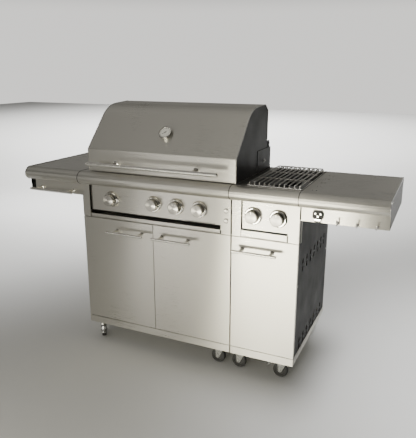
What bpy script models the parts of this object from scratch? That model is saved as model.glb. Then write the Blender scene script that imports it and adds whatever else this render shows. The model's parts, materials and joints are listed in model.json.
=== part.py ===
"""Gas barbecue grill: a hooded main cart, a side-burner cart, two side shelves and eight casters.

Metres, +X to the right, +Y to the back, +Z up. The origin is on the floor, under the middle of the grill.
Every sub-part is one closed object. Moving sub-parts hang on empties that stand on their joint axes.
"""
import math

import bmesh
import bpy
from mathutils import Matrix, Vector

# Driving dimensions
TOTAL_WIDTH = 1.796        # over both shelves
CART_DEPTH = 0.615         # door face to back panel
HANDLE_REACH = 0.0575      # hood handle in front of the door faces
MAIN_LEFT = -0.571         # outer left face of the main cart
SEAM = 0.233               # where the two carts meet
SIDE_RIGHT = 0.5395        # outer right face of the side cart
SEAM_GAP = 0.003           # half of the gap between the carts
SHEET = 0.0015             # sheet metal thickness
GAP = 0.0003               # between pieces that touch

FRONT = HANDLE_REACH - (CART_DEPTH + HANDLE_REACH) / 2   # plane of the door faces
BACK = FRONT + CART_DEPTH
BACK_PANEL_Y = BACK - SHEET - GAP - SHEET / 2            # inside the base tray's rear wall
REAR_FLANGE_Y = BACK_PANEL_Y - SHEET - GAP               # rear flanges of the cabinet sides
MAIN_RIGHT = SEAM - SEAM_GAP
SIDE_LEFT = SEAM + SEAM_GAP

# Heights
BASE_BOTTOM = 0.098
BASE_TOP = 0.134
DOOR_BOTTOM = 0.137
DOOR_TOP = 0.681
PILLAR_BOTTOM = 0.684
TRAY_TOP = 0.702
SIDE_TRAY_TOP = 0.7135
PANEL_BOTTOM = 0.717
PANEL_TOP = 0.8485
CABINET_TOP = 0.863
WALL_BOTTOM = BASE_BOTTOM + SHEET + GAP
LIP_BOTTOM = 0.849
DECK_TOP = 0.913
SHELF_BOTTOM = 0.789
KNOB_HEIGHT = 0.783

# Depths behind the door faces
DOOR_DEPTH = 0.018
FLANGE_DEPTH = 0.022       # front flanges of the cabinet, behind the doors
PANEL_DEPTH = 0.012        # control panels, behind their pillars
FASCIA_DEPTH = 0.003
DECK_DEPTH = 0.49          # worktops and shelves are shallower than the cabinet
NOSE_REACH = 0.038         # rounded front edge, in front of the door faces
NOSE_STEPS = 10

# Control panels
PILLAR_LEFT = 0.042
PILLAR_RIGHT = 0.048
KNOB_PITCH = 0.119
MAIN_KNOBS = [-0.404 + KNOB_PITCH * place for place in (0, 2, 3, 4)]
SIDE_KNOBS = [0.332, 0.445]
BURNER_KNOBS = [MAIN_KNOBS[0], MAIN_KNOBS[1], MAIN_KNOBS[3]]
KNOB_RADIUS = 0.028
BEZEL_RADIUS = 0.0385
BUTTON_X = 0.208
BUTTON_HEIGHTS = (0.794, 0.748)
BUTTON_RADIUS = 0.0085

# Firebox, below the deck, and the housing behind the grates
FIREBOX_X = (-0.500, 0.200)
FIREBOX_Y = (FRONT + 0.085, FRONT + 0.470)
FIREBOX_BOTTOM = 0.745
GRATE_LEDGE = 0.889
PLATE_LEDGE = 0.839
BURNER_HEIGHT = 0.790
MANIFOLD_Y = FRONT + 0.052
HOUSING_Y = (FRONT + 0.287, FRONT + 0.482)
HOUSING_TOP = 1.020
FIREBOX_HOLE = ((FIREBOX_X[0] + 0.003, FIREBOX_Y[0] + 0.003), (FIREBOX_X[1] - 0.003, FIREBOX_Y[1] - 0.003))

# Hood
HOOD_X = (-0.532, 0.249)
HOOD_BOTTOM = 0.917
LINING_DEPTH = 0.016             # inner skin, behind the outer sheet
HOOD_PIVOT = (FRONT + 0.452, 1.035)
HOOD_HANDLE_X = (-0.503, 0.186)
HOOD_HANDLE_Y = FRONT - 0.048
HOOD_HANDLE_Z = 0.960
HOOD_SLIT_Y = FRONT + 0.2845     # rear edge of the hood's end plates
THERMOMETER_X = -0.136
THERMOMETER_RISE = 0.082         # height of its centre above the crease

# Handles
HANDLE_STANDOFF = 0.050
HANDLE_RADIUS = 0.0065
HANDLE_LENGTH = 0.205
HANDLE_HEIGHT = 0.629
POST_INSET = 0.033
HINGE_INSET = 0.007              # door pins, from the door's edge
HINGE_Y = FRONT + DOOR_DEPTH / 2
HINGE_TABS = (0.1322, 0.6845)    # heights of the plates that hold the pins
TRAY_LENGTH = 0.40
TRAY_BOTTOM = 0.686
HOOKS = (0.697, 0.774, 0.851)
OPENER_X = 0.6155
SHELF_SLOT_COLUMNS = (0.575, 0.591)       # rows of slots in the right shelf, beside the side burner
SHELF_SLOT_ROWS = [0.050 + 0.0825 * row for row in range(5)]

# Side burner
PAN_X = (0.303, 0.535)
PAN_Y = (FRONT + 0.014, FRONT + 0.456)
PAN_BOTTOM = 0.865
GRATE_BARS = 11
GRATE_PITCH = 0.0221
GRATE_MIDDLE = 0.4195
GRATE_TOP = 0.933
GRATE_WIRE = 0.003
SIDE_BURNERS = ((GRATE_MIDDLE, FRONT + 0.135), (GRATE_MIDDLE, FRONT + 0.335))
PAN_HOLE = ((PAN_X[0] + 0.002, PAN_Y[0] + 0.002), (PAN_X[1] - 0.002, PAN_Y[1] - 0.002))

# Casters
WHEEL_RADIUS = 0.036
WHEEL_SIDES = 24
WHEEL_HALF_WIDTH = 0.011
TRAIL = 0.018
CASTER_INSET = 0.060
AXLE_HEIGHT = WHEEL_RADIUS * math.cos(math.pi / WHEEL_SIDES)
CASTER_COLUMNS = (("main_left", -0.533, True, 125), ("main_right", 0.169, False, 0),
                  ("side_left", 0.279, False, 0), ("side_right", 0.487, True, 0))
CASTERS = [(f"{row}_{column}", x, y, braked, heading if row == "front" else 20 * index)
           for row, y in (("front", FRONT + CASTER_INSET), ("rear", BACK - CASTER_INSET))
           for index, (column, x, braked, heading) in enumerate(CASTER_COLUMNS)]

STEEL = ("brushed_stainless", (0.60, 0.59, 0.56), 0.32, 1.0)
POLISHED = ("polished_stainless", (0.78, 0.77, 0.74), 0.15, 1.0)
DARK = ("dark_enamel", (0.045, 0.045, 0.043), 0.45, 0.3)
PAINTED = ("grey_paint", (0.07, 0.07, 0.068), 0.5, 0.4)
IRON = ("cast_iron", (0.05, 0.05, 0.05), 0.6, 0.6)
ALUMINISED = ("aluminised_steel", (0.45, 0.45, 0.44), 0.45, 1.0)
PLATED = ("zinc_plate", (0.62, 0.62, 0.60), 0.3, 1.0)
TYRE = ("black_rubber", (0.02, 0.02, 0.02), 0.7, 0.0)


# Scene and materials

def clear_scene():
    for obj in list(bpy.data.objects):
        bpy.data.objects.remove(obj, do_unlink=True)


def make_collection(name):
    collection = bpy.data.collections.new(name)
    bpy.context.scene.collection.children.link(collection)
    return collection


def get_material(finish):
    name, colour, roughness, metallic = finish
    material = bpy.data.materials.get(name)
    if material is None:
        material = bpy.data.materials.new(name)
        material.use_nodes = True
        shader = material.node_tree.nodes["Principled BSDF"]
        shader.inputs["Base Color"].default_value = (*colour, 1.0)
        shader.inputs["Roughness"].default_value = roughness
        shader.inputs["Metallic"].default_value = metallic
    return material


clear_scene()
GRILL = make_collection("gas_barbecue_grill")
CUTTERS = make_collection("cutters")


# Shapes: each function returns a builder that adds one closed shape to a mesh

def box(low, high):
    low, high = Vector(low), Vector(high)
    place = Matrix.Translation((low + high) / 2) @ Matrix.Diagonal((*(high - low), 1))
    return lambda shape: bmesh.ops.create_cube(shape, size=1, matrix=place)


def rod(start, end, radius, end_radius=None, sides=16):
    start, end = Vector(start), Vector(end)
    along = end - start
    place = Matrix.Translation((start + end) / 2) @ along.to_track_quat("Z", "X").to_matrix().to_4x4()
    far_radius = radius if end_radius is None else end_radius
    return lambda shape: bmesh.ops.create_cone(shape, cap_ends=True, segments=sides, radius1=radius,
                                               radius2=far_radius, depth=along.length, matrix=place)


def mesh_of(name, builders):
    shape = bmesh.new()
    for build in builders:
        build(shape)
    mesh = bpy.data.meshes.new(name)
    shape.to_mesh(mesh)
    shape.free()
    return mesh


def smooth(mesh, angle=35):
    mesh.shade_smooth()
    mesh.set_sharp_from_angle(angle=math.radians(angle))


# Objects

def add_object(name, mesh, finish, collection=GRILL):
    obj = bpy.data.objects.new(name, mesh)
    collection.objects.link(obj)
    obj.data.materials.clear()
    obj.data.materials.append(get_material(finish))
    return obj


def add_helper(name, builders):
    helper = bpy.data.objects.new(name, mesh_of(name, builders))
    CUTTERS.objects.link(helper)
    helper.hide_render = True
    helper.display_type = "WIRE"
    return helper


def combine(obj, operation, builders):
    """Join builders' shapes to an object (UNION) or cut them out of it (DIFFERENCE)."""
    number = sum(modifier.type == "BOOLEAN" for modifier in obj.modifiers)
    modifier = obj.modifiers.new(f"{operation.lower()}_{number}", "BOOLEAN")
    modifier.operation = operation
    modifier.solver = "EXACT"
    modifier.object = add_helper(f"{obj.name}_{operation.lower()}_{number}", builders)
    return obj


def solid(name, finish, builders, joined=(), cut=()):
    obj = add_object(name, mesh_of(name, builders), finish)
    if joined:
        combine(obj, "UNION", joined)
    if cut:
        combine(obj, "DIFFERENCE", cut)
    smooth(obj.data)
    return obj


def thicken(obj, thickness, offset):
    modifier = obj.modifiers.new("thickness", "SOLIDIFY")
    modifier.thickness = thickness
    modifier.offset = offset
    modifier.use_even_offset = True


def folded_sheet(name, finish, path, axis, low, high, thickness=SHEET):
    """A bent sheet: a path through its mid-thickness, drawn out along X, Y or Z from low to high."""
    lift = {"X": lambda a, b: (low, a, b), "Y": lambda a, b: (a, low, b), "Z": lambda a, b: (a, b, low)}[axis]
    shape = bmesh.new()
    verts = [shape.verts.new(lift(a, b)) for a, b in path]
    edges = [shape.edges.new(pair) for pair in zip(verts, verts[1:])]
    grown = bmesh.ops.extrude_edge_only(shape, edges=edges)
    moved = [item for item in grown["geom"] if isinstance(item, bmesh.types.BMVert)]
    reach = Vector([(high - low) * (axis == letter) for letter in "XYZ"])
    bmesh.ops.translate(shape, verts=moved, vec=reach)
    mesh = bpy.data.meshes.new(name)
    shape.to_mesh(mesh)
    shape.free()
    obj = add_object(name, mesh, finish)
    thicken(obj, thickness, 0.0)
    smooth(obj.data)
    return obj


def open_box(name, finish, low, high, open_side, thickness=SHEET):
    """A sheet-metal tray or pan: a box without the face that looks along open_side."""
    shape = bmesh.new()
    box(low, high)(shape)
    shape.normal_update()
    gone = [face for face in shape.faces if face.normal.dot(Vector(open_side)) > 0.9]
    bmesh.ops.delete(shape, geom=gone, context="FACES")
    mesh = bpy.data.meshes.new(name)
    shape.to_mesh(mesh)
    shape.free()
    obj = add_object(name, mesh, finish)
    thicken(obj, thickness, -1.0)
    return obj


def turned(name, finish, profile, sides=24, closed_ring=False):
    """A turned piece about Z. The profile lists (radius, height) down the outer side."""
    mesh = bpy.data.meshes.new(name)
    count = len(profile)
    edges = [(index, index + 1) for index in range(count - 1)]
    if closed_ring:
        edges.append((count - 1, 0))
    mesh.from_pydata([(radius, 0, height) for radius, height in profile], edges, [])
    obj = add_object(name, mesh, finish)
    screw = obj.modifiers.new("turn", "SCREW")
    screw.steps = sides
    screw.render_steps = sides
    screw.use_merge_vertices = True
    screw.merge_threshold = 0.0001
    screw.use_smooth_shade = True
    return obj


def outline_plate(outline, low_x, high_x):
    """Builder for a flat plate that stands across X, from a closed (y, z) outline."""
    curve = bpy.data.curves.new("outline", "CURVE")
    curve.dimensions = "2D"
    curve.fill_mode = "BOTH"
    curve.extrude = (high_x - low_x) / 2
    spline = curve.splines.new("POLY")
    spline.points.add(len(outline) - 1)
    for point, (y, z) in zip(spline.points, outline):
        point.co = (y, z, 0, 1)
    spline.use_cyclic_u = True
    holder = bpy.data.objects.new("outline", curve)
    bpy.context.scene.collection.objects.link(holder)
    bpy.context.view_layer.update()
    mesh = bpy.data.meshes.new_from_object(holder.evaluated_get(bpy.context.evaluated_depsgraph_get()))
    bpy.data.objects.remove(holder)
    # The curve lies in XY with its thickness along Z: (x, y, z) becomes (z, x, y).
    turn = Matrix(((0, 0, 1, (low_x + high_x) / 2), (1, 0, 0, 0), (0, 1, 0, 0), (0, 0, 0, 1)))
    mesh.transform(turn)

    def build(shape):
        shape.from_mesh(mesh)
        bmesh.ops.remove_doubles(shape, verts=shape.verts, dist=0.00001)
    return build


def standing_plate(outline, low_y, high_y):
    """Builder for a flat plate that stands across Y, from a closed (x, z) outline."""
    across_x = outline_plate(outline, low_y, high_y)

    def build(shape):
        before = set(shape.verts)
        across_x(shape)
        fresh = [vert for vert in shape.verts if vert not in before]
        # Swapping x and y mirrors the plate, so its faces are turned back out.
        for vert in fresh:
            vert.co = Vector((vert.co.y, vert.co.x, vert.co.z))
        bmesh.ops.reverse_faces(shape, faces=list({face for vert in fresh for face in vert.link_faces}))
    return build


def joint_empty(name, location, children):
    """An empty on a joint axis, with children that keep their places."""
    empty = bpy.data.objects.new(name, None)
    empty.empty_display_size = 0.05
    empty.location = location
    GRILL.objects.link(empty)
    for child in children:
        child.parent = empty
        child.matrix_parent_inverse = Matrix.Translation(-Vector(location))
    return empty


# Paths

def filleted(corners, steps=6):
    """Points along a path of (y, z, radius) corners, with an arc at each corner that has a radius."""
    points = [corners[0][:2]]
    for before, corner, after in zip(corners, corners[1:], corners[2:]):
        here = Vector(corner[:2])
        back = (Vector(before[:2]) - here).normalized()
        ahead = (Vector(after[:2]) - here).normalized()
        half = back.angle(ahead) / 2
        centre = here + (back + ahead).normalized() * corner[2] / math.sin(half)
        start = here + back * corner[2] / math.tan(half)
        spoke = start - centre
        turn = math.copysign(math.pi - 2 * half, back.cross(ahead) * -1)
        for step in range(steps + 1):
            angle = turn * step / steps
            points.append((centre.x + spoke.x * math.cos(angle) - spoke.y * math.sin(angle),
                           centre.y + spoke.x * math.sin(angle) + spoke.y * math.cos(angle)))
    points.append(corners[-1][:2])
    return points


def inset(points, distance):
    """The path moved to its right-hand side by a distance, with mitred corners."""
    result = []
    for index, point in enumerate(points):
        here = Vector(point)
        back = here - Vector(points[index - 1]) if index else Vector(points[1]) - here
        ahead = Vector(points[index + 1]) - here if index < len(points) - 1 else back
        side = (back.normalized() + ahead.normalized()).normalized()
        mitre = distance / max(side.dot(ahead.normalized()), 0.5)
        result.append((here.x + side.y * mitre, here.y - side.x * mitre))
    return result


def nose_curve():
    """The half-elliptic front edge of a deck, at mid-thickness, from its top to its lip."""
    top = DECK_TOP - SHEET / 2
    bottom = LIP_BOTTOM + SHEET / 2
    reach = NOSE_REACH - SHEET / 2
    angles = [math.pi * step / NOSE_STEPS for step in range(NOSE_STEPS + 1)]
    return [(FRONT - reach * math.sin(angle), (top + bottom) / 2 + (top - bottom) / 2 * math.cos(angle))
            for angle in angles]


def nose_path(back_y, back_z):
    """Deck profile: back flange, flat top, rounded front edge and a short return below."""
    nose = nose_curve()
    return [(back_y, back_z), (back_y, nose[0][1])] + nose + [(FRONT + PANEL_DEPTH - SHEET, nose[-1][1])]


def nose_outline(skirt_bottom=None):
    """Closed outline of a deck's end cap, with or without a skirt behind the fascia."""
    nose = nose_curve()
    fascia_y = FRONT + FASCIA_DEPTH + SHEET / 2
    back_y = FRONT + DECK_DEPTH - SHEET / 2
    if skirt_bottom is None:
        tail = [(back_y, nose[-1][1])]
    else:
        tail = [(fascia_y, nose[-1][1]), (fascia_y, skirt_bottom), (back_y, skirt_bottom)]
    return nose + tail + [(back_y, nose[0][1])]


HOOD_CORNERS = [
    (FRONT + 0.012, HOOD_BOTTOM),
    (FRONT + 0.012, 1.024, 0.012),
    (FRONT + 0.198, 1.2235, 0.17),
    (FRONT + 0.387, 1.2347, 0.03),
    (FRONT + 0.428, 1.204, 0.015),
    (FRONT + 0.428, 1.060),
]
HOOD_PATH = filleted(HOOD_CORNERS)
HOOD_SLOPE = (Vector(HOOD_CORNERS[2][:2]) - Vector(HOOD_CORNERS[1][:2])).normalized()


# Cabinets and control panels

def hinge_tabs(edge, inward):
    """Two small plates that hold a door's pins, at the edge x, reaching inward (+1 or -1)."""
    low_x, high_x = sorted((edge + inward * (SHEET + 2 * GAP), edge + inward * 0.014))
    return [box((low_x, FRONT + 0.0035, level), (high_x, FRONT + FLANGE_DEPTH, level + SHEET))
            for level in HINGE_TABS]


def tray_rail(edge, inward):
    """A ledge under the side of a drip tray, from the cabinet wall at the edge x."""
    low_x, high_x = sorted((edge + inward * (SHEET + 2 * GAP), edge + inward * 0.062))
    top = TRAY_BOTTOM - GAP
    return [box((low_x, FRONT + 0.030, top - SHEET), (high_x, FRONT + TRAY_LENGTH, top))]


def hinge_tab_holes(edge, inward):
    x = edge + inward * HINGE_INSET
    return [rod((x, HINGE_Y, level - SHEET), (x, HINGE_Y, level + 2 * SHEET), 0.0028, sides=12)
            for level in HINGE_TABS]


def side_panel(name, finish, edge, inward):
    """A cabinet side: a wall with a front and a rear flange, and the hinge tabs of its door."""
    wall_x = edge + inward * (SHEET + GAP + SHEET / 2)
    flange_x = edge + inward * 0.034
    front_y = FRONT + FLANGE_DEPTH
    path = [(flange_x, front_y), (wall_x, front_y), (wall_x, REAR_FLANGE_Y), (flange_x, REAR_FLANGE_Y)]
    side = folded_sheet(name, finish, path, "Z", WALL_BOTTOM, CABINET_TOP)
    combine(side, "UNION", hinge_tabs(edge, inward))
    combine(side, "UNION", tray_rail(edge, inward))
    combine(side, "DIFFERENCE", hinge_tab_holes(edge, inward))
    return side


def wrapped_back(name, wall_edge, inward, far_x):
    """One folded sheet: a front flange, one side wall and the back panel, up to the next cabinet side."""
    wall_x = wall_edge + inward * (SHEET + GAP + SHEET / 2)
    front_y = FRONT + FLANGE_DEPTH
    flange_x = wall_edge + inward * 0.034
    path = [(flange_x, front_y), (wall_x, front_y), (wall_x, BACK_PANEL_Y), (far_x, BACK_PANEL_Y)]
    back = folded_sheet(name, STEEL, path, "Z", WALL_BOTTOM, CABINET_TOP)
    return combine(back, "UNION", tray_rail(wall_edge, inward))


def side_vents():
    """Two bands of upright slots through the side cart's right panel."""
    slots = []
    for band in (0.165, 0.555):
        for column in range(7):
            for row in (-1, 1):
                middle = Vector((SIDE_RIGHT, FRONT + 0.105 + 0.070 * column, band + 0.017 * row))
                half_size = Vector((0.01, 0.009, 0.012))
                slots.append(box(middle - half_size, middle + half_size))
    return slots


def make_cabinets():
    floor_holes = [rod((x, y, BASE_BOTTOM - 0.01), (x, y, BASE_BOTTOM + 0.01), 0.0068)
                   for _, x, y, _, _ in CASTERS]
    for name, left, right in (("main_base", MAIN_LEFT, MAIN_RIGHT), ("side_base", SIDE_LEFT, SIDE_RIGHT)):
        base = open_box(name, STEEL, (left, FRONT, BASE_BOTTOM), (right, BACK, BASE_TOP), (0, 0, 1))
        combine(base, "DIFFERENCE", floor_holes)
    side_panel("main_side_left", STEEL, MAIN_LEFT, 1)
    vented = side_panel("side_panel_right", PAINTED, SIDE_RIGHT, -1)
    combine(vented, "DIFFERENCE", side_vents())
    main_back = wrapped_back("main_back_and_right_side", MAIN_RIGHT, -1, MAIN_LEFT + SHEET + GAP)
    combine(main_back, "UNION", hinge_tabs(MAIN_RIGHT, -1))
    combine(main_back, "DIFFERENCE", hinge_tab_holes(MAIN_RIGHT, -1))
    wrapped_back("side_back_and_left_side", SIDE_LEFT, 1, SIDE_RIGHT - SHEET - GAP)


def control_panel(name, left, right, knob_places, button_places=()):
    """A recessed fascia between two proud pillars, with a conical bezel around each knob."""
    face_y = FRONT + PANEL_DEPTH
    pillar_y = FRONT + SHEET / 2
    inner_left = left + PILLAR_LEFT - SHEET / 2
    inner_right = right - PILLAR_RIGHT + SHEET / 2
    path = [(left + SHEET / 2, FRONT + 0.020), (left + SHEET / 2, pillar_y), (inner_left, pillar_y),
            (inner_left, face_y), (inner_right, face_y), (inner_right, pillar_y),
            (right - SHEET / 2, pillar_y), (right - SHEET / 2, FRONT + 0.020)]
    panel = folded_sheet(name, STEEL, path, "Z", PILLAR_BOTTOM, PANEL_TOP)
    combine(panel, "DIFFERENCE", [box((inner_left + SHEET / 2, FRONT - 0.01, PILLAR_BOTTOM - 0.01),
                                      (inner_right - SHEET / 2, FRONT + 0.03, PANEL_BOTTOM))])
    bezels = [rod((x, face_y, KNOB_HEIGHT), (x, FRONT + 0.001, KNOB_HEIGHT), BEZEL_RADIUS,
                  BEZEL_RADIUS - 0.005, sides=24) for x in knob_places]
    combine(panel, "UNION", bezels)
    wells = [rod((x, face_y - 0.0025, KNOB_HEIGHT), (x, FRONT - 0.01, KNOB_HEIGHT), KNOB_RADIUS + 0.0015,
                 sides=24) for x in knob_places]
    combine(panel, "DIFFERENCE", wells)
    holes = [rod((x, face_y + 0.01, KNOB_HEIGHT), (x, FRONT - 0.01, KNOB_HEIGHT), 0.005, sides=12)
             for x in knob_places]
    rings = [rod((x, FRONT + 0.001, z), (x, FRONT - 0.001, z), BUTTON_RADIUS + 0.003, sides=16)
             for x, z in button_places]
    if rings:
        combine(panel, "UNION", rings)
        holes += [rod((x, FRONT + 0.008, z), (x, FRONT - 0.008, z), BUTTON_RADIUS + 0.0006, sides=16)
                  for x, z in button_places]
    combine(panel, "DIFFERENCE", holes)
    return panel


def make_control_panels():
    buttons = [(BUTTON_X, height) for height in BUTTON_HEIGHTS]
    control_panel("control_panel", MAIN_LEFT, MAIN_RIGHT, MAIN_KNOBS, buttons)
    control_panel("side_control_panel", SIDE_LEFT, SIDE_RIGHT, SIDE_KNOBS)
    profile = [(0, 0.026), (KNOB_RADIUS - 0.002, 0.026), (KNOB_RADIUS, 0.0235), (KNOB_RADIUS, -0.0085),
               (0.004, -0.0085), (0.004, -0.0185), (0, -0.0185)]
    turn_forward = Matrix.Rotation(math.pi / 2, 4, "X")
    for number, x in enumerate(MAIN_KNOBS + SIDE_KNOBS, start=1):
        name = f"main_knob_{number}" if number <= len(MAIN_KNOBS) else f"side_knob_{number - len(MAIN_KNOBS)}"
        knob = turned(name, POLISHED, profile)
        knob.matrix_world = Matrix.Translation((x, FRONT, KNOB_HEIGHT)) @ turn_forward
    profile = [(0, 0.0045), (BUTTON_RADIUS - 0.001, 0.0045), (BUTTON_RADIUS, 0.0035), (BUTTON_RADIUS, -0.010),
               (0, -0.010)]
    for name, height in zip(("igniter_button", "light_button"), BUTTON_HEIGHTS):
        button = turned(name, POLISHED, profile, sides=16)
        button.matrix_world = Matrix.Translation((BUTTON_X, FRONT, height)) @ turn_forward


# Doors, handles and trays

def bar_handle(name, low_x, high_x, y, z, radius, mount_y, post_inset, post_radius):
    """A straight bar across X on two posts that reach back to mount_y."""
    posts = [rod((x, mount_y, z), (x, y, z), post_radius, sides=12)
             for x in (low_x + post_inset, high_x - post_inset)]
    return solid(name, POLISHED, [rod((low_x, y, z), (high_x, y, z), radius)], joined=posts)


def make_doors():
    middle = (MAIN_LEFT + MAIN_RIGHT) / 2
    half_gap = 0.0015
    doors = (("left_door", MAIN_LEFT, middle - half_gap, "left", 0.029),
             ("right_door", middle + half_gap, MAIN_RIGHT, "right", 0.015),
             ("side_door", SIDE_LEFT, SIDE_RIGHT, "right", 0.018))
    for name, left, right, hinge, handle_gap in doors:
        door = open_box(name, STEEL, (left, FRONT, DOOR_BOTTOM), (right, FRONT + DOOR_DEPTH, DOOR_TOP),
                        (0, 1, 0))
        pin_x = left + HINGE_INSET if hinge == "left" else right - HINGE_INSET
        pin_spans = ((DOOR_BOTTOM + 0.001, HINGE_TABS[0]), (DOOR_TOP - 0.001, HINGE_TABS[1] + SHEET))
        pins = [rod((pin_x, HINGE_Y, start), (pin_x, HINGE_Y, end), 0.0025, sides=12)
                for start, end in pin_spans]
        combine(door, "UNION", pins)
        low_x = right - handle_gap - HANDLE_LENGTH if hinge == "left" else left + handle_gap
        handle = bar_handle(f"{name}_handle", low_x, low_x + HANDLE_LENGTH, FRONT - HANDLE_STANDOFF,
                            HANDLE_HEIGHT, HANDLE_RADIUS, FRONT - GAP, POST_INSET, 0.005)
        joint_empty(f"{name}_hinge", (pin_x, HINGE_Y, 0), [door, handle])


def make_tray(name, left, right, top):
    """A drip tray that slides out below a control panel: a pan behind a front strip that reaches the top."""
    pan_inset = 0.004
    low_x, high_x = left + PILLAR_LEFT + 0.0015, right - PILLAR_RIGHT - 0.004
    front_y = FRONT + 0.003
    tray = open_box(name, STEEL, (low_x + pan_inset, front_y + 0.001, TRAY_BOTTOM),
                    (high_x - pan_inset, FRONT + TRAY_LENGTH, TRAY_TOP - 0.003), (0, 0, 1))
    combine(tray, "UNION", [box((low_x, front_y, PILLAR_BOTTOM), (high_x, front_y + SHEET, top))])
    joint_empty(f"{name}_slide", ((low_x + high_x) / 2, front_y, top), [tray])


# Deck, shelves and their fittings

def make_decks():
    for name, left, right, hole in (("main_worktop", MAIN_LEFT + GAP, SEAM - GAP, FIREBOX_HOLE),
                                    ("side_worktop", SEAM + GAP, SIDE_RIGHT - GAP, PAN_HOLE)):
        rear_z = CABINET_TOP + GAP + SHEET / 2
        path = [(BACK, rear_z)] + nose_path(FRONT + DECK_DEPTH - SHEET / 2, rear_z)
        deck = folded_sheet(name, STEEL, path, "X", left, right)
        (low_x, low_y), (high_x, high_y) = hole
        combine(deck, "DIFFERENCE", [box((low_x, low_y, DECK_TOP - 0.02), (high_x, high_y, DECK_TOP + 0.02))])
    pan_low = (PAN_X[0] - 0.001, PAN_Y[0] - 0.001, PAN_BOTTOM)
    pan_high = (PAN_X[1] + 0.001, PAN_Y[1] + 0.001, DECK_TOP - SHEET - GAP)
    pan = open_box("side_burner_pan", DARK, pan_low, pan_high, (0, 0, 1))
    combine(pan, "DIFFERENCE", [rod((x, y, PAN_BOTTOM - 0.01), (x, y, PAN_BOTTOM + 0.01), 0.009)
                                for x, y in SIDE_BURNERS])


def make_shelves():
    left_x = -TOTAL_WIDTH / 2
    flange_y = FRONT + DECK_DEPTH - SHEET / 2
    sheet_middle = DECK_TOP - SHEET / 2
    left = folded_sheet("left_shelf", STEEL, nose_path(flange_y, SHELF_BOTTOM), "X", left_x + SHEET / 2,
                        MAIN_LEFT - GAP)
    end_wall = [(left_x + 0.029, FRONT + FASCIA_DEPTH + SHEET / 2, SHELF_BOTTOM + 0.0005),
                (left_x + 0.029 + SHEET, flange_y, sheet_middle)]
    fascia = [(left_x + 0.028, FRONT + FASCIA_DEPTH, SHELF_BOTTOM),
              (MAIN_LEFT - GAP, FRONT + FASCIA_DEPTH + SHEET, sheet_middle)]
    combine(left, "UNION", [outline_plate(nose_outline(), left_x, left_x + SHEET)])
    combine(left, "UNION", [box(*end_wall)])
    combine(left, "UNION", [box(*fascia)])

    right_x = TOTAL_WIDTH / 2
    start_x = SIDE_RIGHT + GAP
    right = folded_sheet("right_shelf", STEEL, nose_path(flange_y, SHELF_BOTTOM), "X", start_x,
                         right_x - SHEET / 2)
    combine(right, "UNION", [outline_plate(nose_outline(SHELF_BOTTOM + 0.0005), right_x - SHEET, right_x)])
    combine(right, "UNION", [box((start_x, FRONT + FASCIA_DEPTH, SHELF_BOTTOM),
                                 (right_x - SHEET / 2, FRONT + FASCIA_DEPTH + SHEET, sheet_middle))])
    bracket = [(start_x, FRONT + 0.030, 0.679), (start_x + SHEET, FRONT + 0.046, sheet_middle)]
    combine(right, "UNION", [box(*bracket)])
    pegs = []
    tips = []
    for x in HOOKS:
        pegs.append(rod((x, FRONT + 0.004, 0.797), (x, FRONT - 0.022, 0.793), 0.0025, sides=8))
        tips.append(rod((x, FRONT - 0.021, 0.791), (x, FRONT - 0.024, 0.812), 0.0025, sides=8))
    combine(right, "UNION", pegs)
    combine(right, "UNION", tips)
    slots = [box((x - 0.003, FRONT + depth - 0.009, DECK_TOP - 0.01),
                 (x + 0.003, FRONT + depth + 0.009, DECK_TOP + 0.01))
             for x in SHELF_SLOT_COLUMNS for depth in SHELF_SLOT_ROWS]
    combine(right, "DIFFERENCE", slots)

    bar_handle("towel_bar", -0.861, -0.597, FRONT - HANDLE_STANDOFF, 0.808, HANDLE_RADIUS,
               FRONT + FASCIA_DEPTH - GAP, POST_INSET, 0.005)
    make_opener(FRONT + FASCIA_DEPTH - GAP)


def make_opener(wall_y):
    """A bottle opener on the fascia: an eight-sided plate, a narrow lip, a round boss and a mouth."""
    half_width, lip = 0.0235, 0.013
    profile = [(lip, 0.790), (lip, 0.799), (half_width, 0.812), (half_width, 0.832), (0.0165, 0.842)]
    outline = [(OPENER_X + x, z) for x, z in profile]
    outline += [(OPENER_X - x, z) for x, z in reversed(profile)]
    plate = standing_plate(outline, wall_y - 0.003, wall_y)
    boss = rod((OPENER_X, wall_y - 0.001, 0.828), (OPENER_X, wall_y - 0.014, 0.828), 0.013, 0.011, sides=20)
    mouth = box((OPENER_X - 0.018, wall_y - 0.012, 0.813), (OPENER_X + 0.018, wall_y - 0.0035, 0.825))
    solid("bottle_opener", POLISHED, [plate], joined=[boss], cut=[mouth])


# Grill head

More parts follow.
